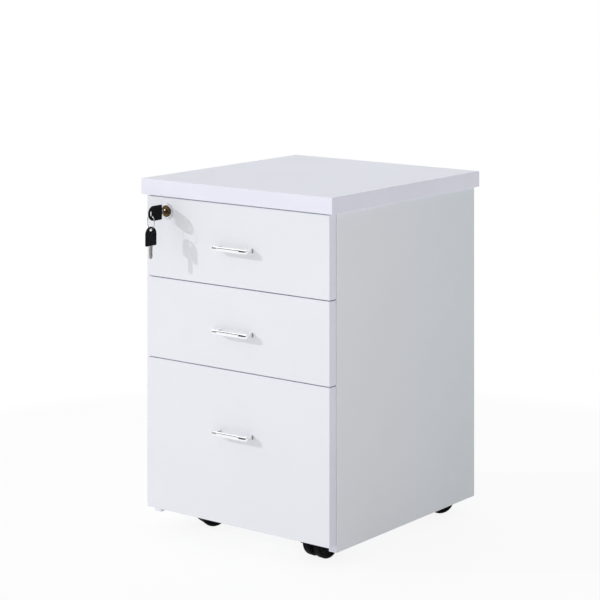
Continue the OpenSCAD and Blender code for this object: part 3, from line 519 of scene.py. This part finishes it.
def handle(node):
    """A bent strap with a crowned outer face, soft arrises and true bends, on two round feet."""
    lo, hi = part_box(node)
    z0 = (lo.z + hi.z) / 2
    w = (hi.x - lo.x) / 2 / MM
    h = (hi.z - lo.z) / 2 / MM
    out = (FACE_Y - lo.y) / MM
    t = 4.0
    bend = 7.0
    # outer outline of the strap in plan, with true arcs
    plan = []
    for s in (-1, 1):
        arc = [(s * (w - bend + bend * math.sin(q)), -out + bend - bend * math.cos(q), s * math.sin(q), -math.cos(q))
               for q in [math.pi / 2 * k / 14 for k in range(15)]]
        leg = [(s * w, -(out - bend) * (1 - k / 6), s * 1.0, 0.0) for k in range(1, 7)]
        side = arc + leg
        plan = (side[::-1] + [(x, -out, 0.0, -1.0) for x in np.linspace(-w + bend, w - bend, 17)[1:-1]]) if s < 0 else plan + side
    # section: depth below the outer outline, and height
    face = [(0.95 * (abs(z) / 3.2) ** 2 * 0.62, z) for z in np.linspace(-3.15, 3.15, 13)]
    k = h / 4.0
    sec = [(d, z * k) for d, z in face]
    sec += [(0.95, 3.55 * k), (1.45, 3.85 * k), (2.1, 3.97 * k), (2.8, 3.9 * k), (3.4, 3.65 * k), (3.8, 3.2 * k), (t, 2.6 * k)]
    sec += [(t, 0.9 * k), (t, -0.9 * k), (t, -2.6 * k), (3.8, -3.2 * k), (3.4, -3.65 * k), (2.8, -3.9 * k), (2.1, -3.97 * k), (1.45, -3.85 * k), (0.95, -3.55 * k)]
    bm = bmesh.new()
    loops = []
    for x, y, nx, ny in plan:
        loops.append([bm.verts.new(((x - nx * d) * MM, FACE_Y + (y - ny * d) * MM, z0 + z * MM)) for d, z in sec])
    for a, b in zip(loops, loops[1:]):
        ring_faces(bm, a, b)
    bm.faces.new(loops[0])
    bm.faces.new(loops[-1])
    solid(bm)
    # feet
    for s in (-1, 1):
        foot = bmesh.new()
        place = Matrix.Translation((s * 35 * MM, FACE_Y, z0)) @ Matrix.Rotation(math.pi / 2, 4, "X")
        prof = fillet([(0, 0), (4.0, 0), (4.0, 1.3), (3.5, 1.7), (3.5, 8.0), (2.9, 9.9), (0, 9.9)], [0, 0.15, 0.3, 0.3, 1.2, 0.8, 0], 4)
        lathe(foot, [(p.x, p.y) for p in prof], place, 48)
        solid(foot)
        tmp = bpy.data.meshes.new("tmp")
        foot.to_mesh(tmp)
        bm.from_mesh(tmp)
        foot.free()
        bpy.data.meshes.remove(tmp)
    return add(node + "_strap", bm, body_of(node), ["handle_chrome"], node, angle=38)


for d in ("top", "middle", "file"):
    handle(f"drawer_{d}_handle")

# ---------------------------------------------------------------- lock

lock_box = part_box("lock_housing")
LOCK_X = (lock_box[0].x + lock_box[1].x) / 2
LOCK_Z = (lock_box[0].z + lock_box[1].z) / 2
TURN_OUT = Matrix.Translation((LOCK_X, FACE_Y, LOCK_Z)) @ Matrix.Rotation(math.pi / 2, 4, "X")  # local +Z points out of the front

bm = bmesh.new()
# the plated collar, then a groove whose faces take the key's black plastic as painted shade, then the brass ring round
# the plug
collar = fillet([(7.05, -25.8), (9.0, -25.8), (9.0, 0.0), (13.0, 0.0), (13.0, 1.5), (12.4, 3.3), (10.3, 3.3), (9.75, 2.5), (9.7, 1.6)],
                [0, 0.2, 0.0, 0.15, 0.5, 0.8, 0.4, 0, 0], 5)
groove = [Vector((9.25, 1.6)), Vector((9.2, 2.4))]
brass = fillet([(9.2, 2.4), (9.15, 3.5), (7.75, 3.5), (7.45, 2.5), (7.05, 2.5)], [0, 0.45, 0.2, 0, 0], 5)[1:]
pts = [(p.x, p.y) for p in collar + groove + brass]
mats = [0] * (len(collar) - 1) + [2, 2] + [1] * (len(brass) + 1)
lathe(bm, pts + [pts[0]], TURN_OUT, 128, mats=mats, caps=(False, False))
add("lock_collar", solid(bm), body_of("lock_housing"), ["lock_chrome", "lock_brass", "key_black"], "lock_housing", angle=40)

# ---------------------------------------------------------------- keys

BOW_L, BOW_H, BOW_T, BLADE_L, HOLE_U = 33.0, 26.0, 4.5, 23.0, 5.5


def bow_outline():
    pts = [(BOW_H / 2 * (1 + math.cos(a)), BOW_H / 2 * math.sin(a)) for a in [math.radians(90 + 6 * k) for k in range(31)]]
    pts += [(BOW_L - 0.9, -BOW_H / 2 + 0.05), (BOW_L - 0.3, -BOW_H / 2 + 0.3), (BOW_L - 0.05, -BOW_H / 2 + 0.9)]
    pts += [(BOW_L, -5.0), (BOW_L, 5.0)]
    pts += [(BOW_L - 0.05, BOW_H / 2 - 0.9), (BOW_L - 0.3, BOW_H / 2 - 0.3), (BOW_L - 0.9, BOW_H / 2 - 0.05)]
    return np.array(pts)


def hole_outline():
    pts = []
    for s, start in ((1, 0), (-1, 180)):
        pts += [(HOLE_U + 2.3 * math.cos(math.radians(start + 10 * k)), s * 1.8 + 2.3 * math.sin(math.radians(start + 10 * k))) for k in range(19)]
    return np.array(pts)


def ray_hit(poly, o, a):
    """Farthest point of a closed polygon on a ray from o at angle a."""
    d = np.array([math.cos(a), math.sin(a)])
    best = 0.0
    for p, q in zip(poly, np.roll(poly, -1, 0)):
        e = q - p
        den = d[0] * e[1] - d[1] * e[0]
        if abs(den) < 1e-12:
            continue
        w = p - o
        t = (w[0] * e[1] - w[1] * e[0]) / den
        s = (w[0] * d[1] - w[1] * d[0]) / den
        if t > 0 and -1e-9 <= s <= 1 + 1e-9:
            best = max(best, t)
    return best


def edge_distance(poly, p):
    a, b = poly, np.roll(poly, -1, 0)
    e = b - a
    t = np.clip(((p - a) * e).sum(1) / np.maximum((e * e).sum(1), 1e-12), 0, 1)
    return float(np.min(np.linalg.norm(a + e * t[:, None] - p, axis=1)))


def smooth01(x):
    x = min(1.0, max(0.0, x))
    return x * x * (3 - 2 * x)


def bow_height(outline, hole, p):
    """Half thickness of the bow at a point: soft outer edge, a countersunk hole, and a sunk grip panel with ribs."""
    d = edge_distance(outline, p)
    h = edge_distance(hole, p)
    z = BOW_T / 2 - 1.05 * (1 - smooth01((h - 0.3) / 2.1))
    for dist, r in ((d, 1.3), (h, 0.5)):
        if dist < r:
            z -= r - math.sqrt(max(0.0, r * r - (r - dist) ** 2))
    panel = smooth01((d - 3.0) / 0.7) * smooth01((h - 2.2) / 0.8) * smooth01((p[0] - 9.6) / 0.8)
    rib = 0.5 + 0.5 * math.cos((p[0] - 12.0) * 2 * math.pi / 2.9)
    ribs = smooth01((rib - 0.55) / 0.3) * smooth01((p[0] - 13.2) / 0.5) * smooth01((29.2 - p[0]) / 0.5)
    return z - panel * (0.75 - 0.5 * ribs)


def key(name, node, place):
    """Moulded bow with a steel blade. place takes (u, v, w) in mm, u along the key from the bow's outer end, v across it, to the row frame."""
    outline, hole = bow_outline(), hole_outline()
    o = np.array([HOLE_U, 0.0])
    count = 144
    bm = bmesh.new()
    columns = []
    for k in range(count):
        a = 2 * math.pi * k / count
        far, near = ray_hit(outline, o, a), ray_hit(hole, o, a)
        ends = [0.0, 0.06, 0.22, 0.5, 0.9, 1.4]
        inner = [near + e for e in (0.0, 0.06, 0.2, 0.5)]
        outer = [far - e for e in ends[::-1]]
        middle = list(np.linspace(inner[-1], outer[0], 26)[1:-1])
        dirn = np.array([math.cos(a), math.sin(a)])
        columns.append([o + dirn * t for t in inner + middle + outer])
    sides = []
    for s in (1, -1):
        grid = []
        for col in columns:
            grid.append([bm.verts.new(place @ Vector((p[0] * MM, p[1] * MM, s * bow_height(outline, hole, p) * MM))) for p in col])
        for i in range(count):
            a, b = grid[i], grid[(i + 1) % count]
            for j in range(len(a) - 1):
                bm.faces.new((a[j], a[j + 1], b[j + 1], b[j]) if s > 0 else (b[j], b[j + 1], a[j + 1], a[j]))
        sides.append(grid)
    top, low = sides
    for end in (0, -1):
        for i in range(count):
            j = (i + 1) % count
            bm.faces.new((top[i][end], top[j][end], low[j][end], low[i][end]))
    bow = add(name + "_bow", solid(bm), body_of(node), ["key_black"], node, angle=50)
    # blade: the outline is cut twice, once shallower, so that each side has a milled groove
    pts = [(BOW_L - 3, 3.6), (BOW_L - 3, -3.6), (BOW_L + 1.2, -3.6), (BOW_L + 1.6, -4.0), (BOW_L + BLADE_L - 3, -4), (BOW_L + BLADE_L - 0.2, -0.9), (BOW_L + BLADE_L, -0.5), (BOW_L + BLADE_L, 0.4), (BOW_L + BLADE_L - 2.5, 3)]
    for i in range(5, -1, -1):
        u = BOW_L + i * 3
        crest, notch = 3.2 - (i % 2) * 0.6, 1.9 - (i % 3) * 0.4
        pts += [(u + 3.7, crest), (u + 3.1, crest), (u + 2.2, notch), (u + 1.5, notch)]
    pts += [(BOW_L + 1.2, 3.6)]
    bm = bmesh.new()
    rows = []
    for w, inset in ((-1.0, 0.16), (-0.86, 0.0), (0.86, 0.0), (1.0, 0.16)):
        loop = []
        n = len(pts)
        for i in range(n):
            p, q, r = Vector(pts[i - 1]), Vector(pts[i]), Vector(pts[(i + 1) % n])
            d1, d2 = (q - p).normalized(), (r - q).normalized()
            normal = Vector((d1.y + d2.y, -(d1.x + d2.x)))
            normal = normal.normalized() if normal.length > 1e-6 else Vector((d1.y, -d1.x))
            inner = q + normal * inset * -1
            loop.append(bm.verts.new(place @ Vector((inner.x * MM, inner.y * MM, w * MM))))
        rows.append(loop)
    for a, b in zip(rows, rows[1:]):
        ring_faces(bm, a, b)
    bm.faces.new(rows[0])
    bm.faces.new(rows[-1])
    bmesh.ops.triangulate(bm, faces=[f for f in bm.faces if len(f.verts) > 4])
    solid(bm)
    # groove bars standing proud on both sides, so that the blade's section isn't flat
    for s in (-1, 1):
        for v0, v1 in ((-3.7, -1.9), (-1.2, 0.6)):
            g = []
            for w, ins in ((0.9, 0.0), (1.22, 0.0), (1.34, 0.14)):
                g.append([bm.verts.new(place @ Vector((u * MM, v * MM, s * w * MM))) for u, v in (
                    (BOW_L - 2 + ins, v0 + ins), (BOW_L + BLADE_L - 4.2 - ins - (0.6 if v0 < -2 else 0), v0 + ins), (BOW_L + BLADE_L - 3.0 - ins, v1 - ins), (BOW_L - 2 + ins, v1 - ins))])
            for a, b in zip(g, g[1:]):
                ring_faces(bm, a, b)
            bm.faces.new(g[0])
            bm.faces.new(g[-1])
    solid(bm)
    add(name + "_blade", bm, body_of(node), ["key_steel"], angle=25)
    return bow


lock_key_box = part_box("lock_key")
spare_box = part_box("spare_key")
# u runs into the lock, v up, w along X
AXES_IN = Matrix(((0, 0, 1, LOCK_X), (1, 0, 0, lock_key_box[0].y), (0, 1, 0, LOCK_Z), (0, 0, 0, 1)))
key("lock_key", "lock_key", AXES_IN)
# u runs down, v towards the back, w along -X
spare_y = (spare_box[0].y + spare_box[1].y) / 2
AXES_DOWN = Matrix(((0, 0, -1, LOCK_X), (0, 1, 0, spare_y), (-1, 0, 0, spare_box[1].z), (0, 0, 0, 1)))
key("spare_key", "spare_key", AXES_DOWN)

# ---------------------------------------------------------------- key ring


def split_ring(node):
    """Two turns of round wire lying against each other."""
    lo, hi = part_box(node)
    centre = (lo + hi) / 2
    wire = 0.36
    radius = (hi.z - lo.z) / 2 / MM - 0.7
    place = Matrix.Translation(centre) @ Matrix.Rotation(math.radians(-20), 4, "Z") @ Matrix.Rotation(math.pi / 2, 4, "X")
    bm = bmesh.new()
    loops = []
    steps, around = 300, 14
    total = 2 * math.pi * 1.93
    start = math.radians(205)
    for k in range(steps + 1):
        f = k / steps
        a = start + total * f
        # the wire crosses from one side to the other half way along
        z = -0.34 + 0.68 * smooth01((f - 0.44) / 0.12)
        t = Vector((-math.sin(a), math.cos(a), 0))
        n = Vector((math.cos(a), math.sin(a), 0))
        b = Vector((0, 0, 1))
        c = n * radius + b * z
        taper = min(1.0, 0.55 + 12 * min(f, 1 - f) * 4)
        loops.append([bm.verts.new(place @ ((c + (n * math.cos(q) + b * math.sin(q)) * wire * taper) * MM)) for q in [2 * math.pi * j / around for j in range(around)]])
    for p, q in zip(loops, loops[1:]):
        ring_faces(bm, p, q)
    bm.faces.new(loops[0])
    bm.faces.new(loops[-1])
    return add(node + "_coil", solid(bm), body_of(node), ["ring_steel"], node, angle=50)


split_ring("key_ring")

# ---------------------------------------------------------------- casters

HEADINGS = {"fl": 333.0, "fr": 174.0, "rl": 24.0, "rr": 320.0}
WHEEL_R, CASTER_W, WEB, TRAIL = 25.0, 42.0, 7.0, 15.0


def caster_frame(tag):
    """Row-frame matrix of a caster's own frame: swivel axis on Z, axle along X at y = trail."""
    a = math.radians(HEADINGS[tag])
    lo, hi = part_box(f"caster_{tag}_axle")
    axle = (lo + hi) / 2
    stem = Vector((axle.x + TRAIL * MM * math.sin(a), axle.y - TRAIL * MM * math.cos(a), 0))
    return Matrix.Translation(stem) @ Matrix.Rotation(a, 4, "Z")


def wheel(tag, side):
    """Moulded wheel: a tread with two fine grooves, a rounded shoulder, a dished outer face with six ribs, and a domed hub."""
    node = f"caster_{tag}_wheel_{side}"
    s = 1 if side == "right" else -1
    place = caster_frame(tag) @ Matrix.Translation((0, TRAIL * MM, WHEEL_R * MM)) @ Matrix.Rotation(s * math.pi / 2, 4, "Y")
    wi, wo = WEB / 2 + 0.7, CASTER_W / 2
    seg = 144
    inner = [(3.05, wi + 14.0), (3.05, wi + 0.5), (3.6, wi), (9.0, wi), (9.3, wi + 0.5), (20.6, wi + 0.5), (21.0, wi)]
    shoulder = fillet([(21.0, wi), (22.6, wi), (25.0, wi + 2.6), (25.0, wi + 5.2)], [0, 0.8, 1.6, 0], 4)[1:]
    tread = []
    for c in (wi + 5.6, wi + 9.6):
        tread += [(25.0, c - 0.45), (24.55, c - 0.2), (24.55, c + 0.2), (25.0, c + 0.45)]
    outer = fillet([(25.0, wi + 11.0), (25.0, wo - 4.6), (24.1, wo - 1.9), (21.6, wo - 0.7), (19.9, wo - 0.6), (19.4, wo - 1.0)], [0, 2.0, 2.0, 1.5, 0.4, 0], 4)
    prof = inner + [(p.x, p.y) for p in shoulder] + tread + [(p.x, p.y) for p in outer]
    bm = bmesh.new()
    first_tread = len(inner) + 2
    last_tread = len(prof) - len(outer) + 6
    mats = [1 if first_tread <= k < last_tread else 0 for k in range(len(prof) - 1)]
    # the blind bore's end
    prof = [(0.0, wi + 14.0)] + prof
    mats = [0] + mats
    loops = lathe(bm, prof, place, seg, mats, caps=(False, False))
    # dished face with ribs: a height field between the rim and the hub
    last = loops[-1]
    for r in (19.2, 19.0, 18.6, 18.0, 17.0, 16.0, 15.0, 14.0, 13.0, 12.4, 12.0, 11.8, 11.4):
        loop = []
        for k in range(seg):
            a = 2 * math.pi * k / seg
            floor_ = wo - 2.6
            rim = smooth01((r - 18.4) / 0.8) + smooth01((12.3 - r) / 0.7)
            off = abs(((a * 6 / (2 * math.pi)) + 0.5) % 1 - 0.5) * (2 * math.pi / 6) * r
            rib = smooth01((1.15 - off) / 0.45)
            h = floor_ + (1.7 if rim > rib else 1.25) * max(rim, rib * 0.9)
            loop.append(bm.verts.new(place @ Vector((r * MM * math.cos(a), r * MM * math.sin(a), min(h, wo - 0.75) * MM))))
        ring_faces(bm, last, loop)
        last = loop
    for r, h in ((10.6, wo - 0.9), (10.2, wo - 0.45), (9.2, wo - 0.2), (6.0, wo - 0.04), (4.2, wo - 0.02), (3.9, wo - 0.35), (3.6, wo - 0.4), (1.5, wo - 0.32)):
        loop = [bm.verts.new(place @ Vector((r * MM * math.cos(2 * math.pi * k / seg), r * MM * math.sin(2 * math.pi * k / seg), h * MM))) for k in range(seg)]
        ring_faces(bm, last, loop)
        last = loop
    centre = bm.verts.new(place @ Vector((0, 0, (wo - 0.3) * MM)))
    for k in range(seg):
        bm.faces.new((last[k], last[(k + 1) % seg], centre))
    return add(node + "_mould", solid(bm), body_of(node), ["wheel_nylon", "tread"], node, angle=42)


def hood(tag):
    """Cover over the two wheels: rolled lower lips, a thickened spine, and the swivel boss with its shoulder."""
    node = f"caster_{tag}_hood"
    place = caster_frame(tag)
    gap, t = 0.7, 2.0
    ri, ro = WHEEL_R + gap, WHEEL_R + gap + t
    half = CASTER_W / 2 - 0.5
    axle = Matrix.Translation((0, TRAIL * MM, WHEEL_R * MM))
    parts = bmesh.new()

    def merge(b):
        solid(b)
        tmp = bpy.data.meshes.new("tmp")
        b.to_mesh(tmp)
        parts.from_mesh(tmp)
        b.free()
        bpy.data.meshes.remove(tmp)

    # arched shell, swept round the axle: section is (radius, x)
    b = bmesh.new()
    sec = fillet([(ri, 0), (ri, -half), (ro, -half), (ro, half), (ri, half), (ri, 0)], [0, 0.5, 0.9, 0.9, 0.5, 0], 4)[:-1]
    loops = []
    steps = 72
    for k in range(steps + 1):
        a = math.pi * k / steps
        loops.append([b.verts.new(place @ axle @ Vector((p.y * MM, p.x * MM * math.cos(a), p.x * MM * math.sin(a)))) for p in sec])
    for p, q in zip(loops, loops[1:]):
        ring_faces(b, p, q)
    b.faces.new(loops[0])
    b.faces.new(loops[-1])
    merge(b)
    # web between the wheels, with a round lower end at the axle
    b = bmesh.new()
    prof = []
    rw = ri + 0.4
    for k in range(41):
        a = math.pi * k / 40
        prof.append((rw * math.cos(a), rw * math.sin(a)))
    # down along the back, round the axle boss, and up along the front
    drop = -13.0 + 0.0
    prof = [(p[0], p[1]) for p in prof]
    prof += [(-rw, 0.0), (-12.6, -3.5)]
    prof += [(12.0 * math.cos(q), 12.0 * math.sin(q)) for q in [math.radians(197 + 146 * k / 20) for k in range(21)]]
    prof += [(12.6, -3.5), (rw, 0.0)]
    clean = []
    for p in prof:
        if not clean or (abs(p[0] - clean[-1][0]) + abs(p[1] - clean[-1][1])) > 0.05:
            clean.append(p)
    if abs(clean[0][0] - clean[-1][0]) + abs(clean[0][1] - clean[-1][1]) < 0.05:
        clean.pop()
    rows = []
    for x, ins in ((-WEB / 2, 0.4), (-WEB / 2 + 0.4, 0.0), (WEB / 2 - 0.4, 0.0), (WEB / 2, 0.4)):
        f = 1 - ins / 25
        rows.append([b.verts.new(place @ axle @ Vector((x * MM, p[0] * f * MM, p[1] * f * MM))) for p in clean])
    for p, q in zip(rows, rows[1:]):
        ring_faces(b, p, q)
    b.faces.new(rows[0])
    b.faces.new(rows[-1])
    bmesh.ops.triangulate(b, faces=[f for f in b.faces if len(f.verts) > 4])
    merge(b)
    # swivel boss
    b = bmesh.new()
    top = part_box(node)[1].z / MM
    base = WHEEL_R + math.sqrt(ri * ri - TRAIL * TRAIL) - 4.0
    prof = fillet([(0, base), (10.0, base), (10.0, top - 3.2), (8.6, top - 2.6), (8.6, top), (4.6, top), (4.2, top - 0.5), (4.2, top - 10.6), (0, top - 10.6)],
                  [0, 0, 0.9, 0.5, 0.5, 0.2, 0, 0, 0], 4)
    lathe(b, [(p.x, p.y) for p in prof], place, 72, caps=(False, False))
    bmesh.ops.remove_doubles(b, verts=b.verts, dist=1e-7)
    merge(b)
    return add(node + "_mould", parts, body_of(node), ["caster_nylon"], node, angle=40)


for tag in HEADINGS:
    hood(tag)
    for side in ("left", "right"):
        wheel(tag, side)

# ---------------------------------------------------------------- finishes of the CAD parts that keep their shape

KEEP = {
    "carcass_dowels": "beech_dowel", "cam_discs": "cam_zinc", "cam_bolts": "zinc_screw", "runner_cabinet_members": "runner_steel",
    "cabinet_screws": "zinc_screw", "lock_bar_guides": "guide_plastic", "caster_plates": "caster_plate_steel", "lock_bar": "lock_bar_aluminium",
    "lock_nut": "zinc_screw", "lock_plug": "lock_brass", "lock_driver": "cam_zinc",
}
for d in ("top", "middle", "file"):
    KEEP[f"drawer_{d}_screws"] = "zinc_screw"
    KEEP[f"drawer_{d}_runner_members"] = "runner_steel"
    KEEP[f"drawer_{d}_runner_middles"] = "runner_steel"
for tag in HEADINGS:
    KEEP[f"caster_{tag}_axle"] = "axle_steel"
for node, slot in KEEP.items():
    ob = NODES[node]
    ob.data.materials.clear()
    ob.data.materials.append(M[slot])

# ---------------------------------------------------------------- floor, light and camera


def floor_material():
    n = Net("floor_pale")
    g = n.node("ShaderNodeVectorMath", operation="LENGTH")
    flat = n.scaled((1.0, 1.0, 0.0))
    n.put(g.inputs[0], flat)
    far = n.span(g.outputs["Value"], 0.42, 1.15, smooth=True)
    tone = n.noise(2.0, 3.0, 0.5)
    grain = n.noise(420.0, 3.0, 0.6)
    color = n.mix(n.span(tone, 0.3, 0.7), (0.93, 0.93, 0.935), (0.915, 0.917, 0.925))
    r = n.math("ADD", 0.62, n.math("MULTIPLY", n.math("SUBTRACT", grain, 0.5), 0.1))
    n.finish(color, r, normal=n.bump(grain, 2e-5), spec=0.2)
    glow = n.node("ShaderNodeEmission")
    glow.inputs["Color"].default_value = (1.0, 1.0, 1.0, 1.0)
    # seen directly it is nearly as bright as the backdrop, with a faint shadow left under the object
    path = n.node("ShaderNodeLightPath")
    seen = n.mixf(path.outputs["Is Camera Ray"], 0.40, 0.88)
    m = n.node("ShaderNodeMixShader")
    n.put(m.inputs[0], n.math("MAXIMUM", n.math("MAXIMUM", far, seen), path.outputs["Is Glossy Ray"]))
    n.t.links.new(n.bsdf.outputs[0], m.inputs[1])
    glow.inputs["Strength"].default_value = 1.0
    n.t.links.new(glow.outputs[0], m.inputs[2])
    # from underneath the floor is clear, so that the casters and the bottom can be looked at
    clear = n.node("ShaderNodeMixShader")
    n.put(clear.inputs[0], n.node("ShaderNodeNewGeometry").outputs["Backfacing"])
    n.t.links.new(m.outputs[0], clear.inputs[1])
    n.t.links.new(n.node("ShaderNodeBsdfTransparent").outputs[0], clear.inputs[2])
    n.t.links.new(clear.outputs[0], n.out.inputs[0])
    return n.mat


bm = bmesh.new()
bmesh.ops.create_grid(bm, x_segments=40, y_segments=40, size=30.0)
me = bpy.data.meshes.new("floor")
bm.to_mesh(me)
bm.free()
floor = bpy.data.objects.new("floor", me)
SCENE.collection.objects.link(floor)
me.materials.append(floor_material())

world = bpy.data.worlds.new("studio")
SCENE.world = world
world.use_nodes = True
wt = world.node_tree
wt.nodes.clear()


def wnode(kind, **props):
    n = wt.nodes.new(kind)
    for k, v in props.items():
        setattr(n, k, v)
    return n


def wmath(op, a, b=0.0, clamp=False):
    n = wnode("ShaderNodeMath", operation=op, use_clamp=clamp)
    for s, v in zip(n.inputs, (a, b)):
        if isinstance(v, bpy.types.NodeSocket):
            wt.links.new(v, s)
        else:
            s.default_value = v
    return n.outputs[0]


wcoord = wnode("ShaderNodeTexCoord")
wsep = wnode("ShaderNodeSeparateXYZ")
wt.links.new(wcoord.outputs["Generated"], wsep.inputs[0])
wx, wy, wz = wsep.outputs
# soft studio fill: brighter from the left front and from above, weaker from the right
fill = wmath("ADD", 0.578, wmath("MULTIPLY", wx, -0.385))
fill = wmath("ADD", fill, wmath("MULTIPLY", wy, -0.10))
fill = wmath("ADD", fill, wmath("MULTIPLY", wz, 0.20))
# what polished metal sees: a bright room with a thin dark band at the horizon and a darker side behind the camera
band = wnode("ShaderNodeMapRange", interpolation_type="SMOOTHSTEP")
wt.links.new(wmath("ABSOLUTE", wmath("SUBTRACT", wz, 0.13)), band.inputs[0])
for i, v in enumerate((0.06, 0.14, 0.04, 1.0)):
    band.inputs[i + 1].default_value = v
shine = wmath("MULTIPLY", band.outputs[0], 1.30)
path = wnode("ShaderNodeLightPath")
mixg = wnode("ShaderNodeMix", data_type="FLOAT")
wt.links.new(path.outputs["Is Glossy Ray"], mixg.inputs[0])
wt.links.new(fill, mixg.inputs[2])
wt.links.new(shine, mixg.inputs[3])
mixc = wnode("ShaderNodeMix", data_type="FLOAT")
wt.links.new(path.outputs["Is Camera Ray"], mixc.inputs[0])
wt.links.new(mixg.outputs[0], mixc.inputs[2])
mixc.inputs[3].default_value = 1.0
wbg = wnode("ShaderNodeBackground")
wbg.inputs["Color"].default_value = (1.0, 1.0, 1.0, 1.0)
wt.links.new(mixc.outputs[0], wbg.inputs["Strength"])
wout = wnode("ShaderNodeOutputWorld")
wt.links.new(wbg.outputs[0], wout.inputs[0])

sun = bpy.data.lights.new("key", "SUN")
sun.energy = 0.93
sun.angle = math.radians(1.0)
sun.color = (0.97, 0.98, 1.0)
key_light = bpy.data.objects.new("key", sun)
SCENE.collection.objects.link(key_light)
key_light.rotation_euler = Vector((1.22, 1.0, -0.59)).to_track_quat("-Z", "Y").to_euler()

cam_data = bpy.data.cameras.new("camera")
cam = bpy.data.objects.new("camera", cam_data)
SCENE.collection.objects.link(cam)
SCENE.camera = cam
CAM_X, CAM_Y = 2.1913, FACE_Y - 2.6721
cam.location = (CAM_X, CAM_Y, 1.0735)
cam.rotation_euler = (math.pi / 2, 0.0, math.radians(37.389))
cam_data.sensor_width = 36.0
cam_data.lens = 122.04
cam_data.clip_start, cam_data.clip_end = 0.05, 100.0
# the lens is shifted down at the main viewpoint, and centred from anywhere else
for path_, amount in (("shift_x", -0.0083), ("shift_y", -0.6368)):
    drive = cam_data.driver_add(path_).driver
    drive.type = "SCRIPTED"
    for letter, channel in (("x", "LOC_X"), ("y", "LOC_Y")):
        v = drive.variables.new()
        v.name = letter
        v.type = "TRANSFORMS"
        v.targets[0].id = cam
        v.targets[0].transform_type = channel
        v.targets[0].transform_space = "WORLD_SPACE"
    drive.expression = f"{amount} if abs(x - {CAM_X:.5f}) + abs(y + {-CAM_Y:.5f}) < 0.002 else 0.0"

SCENE.view_settings.view_transform = "Standard"
SCENE.view_settings.look = "None"
SCENE.view_settings.exposure = 0.0
SCENE.view_settings.gamma = 1.0
SCENE.cycles.max_bounces = 8
SCENE.cycles.diffuse_bounces = 4
SCENE.cycles.glossy_bounces = 5

bpy.context.view_layer.update()
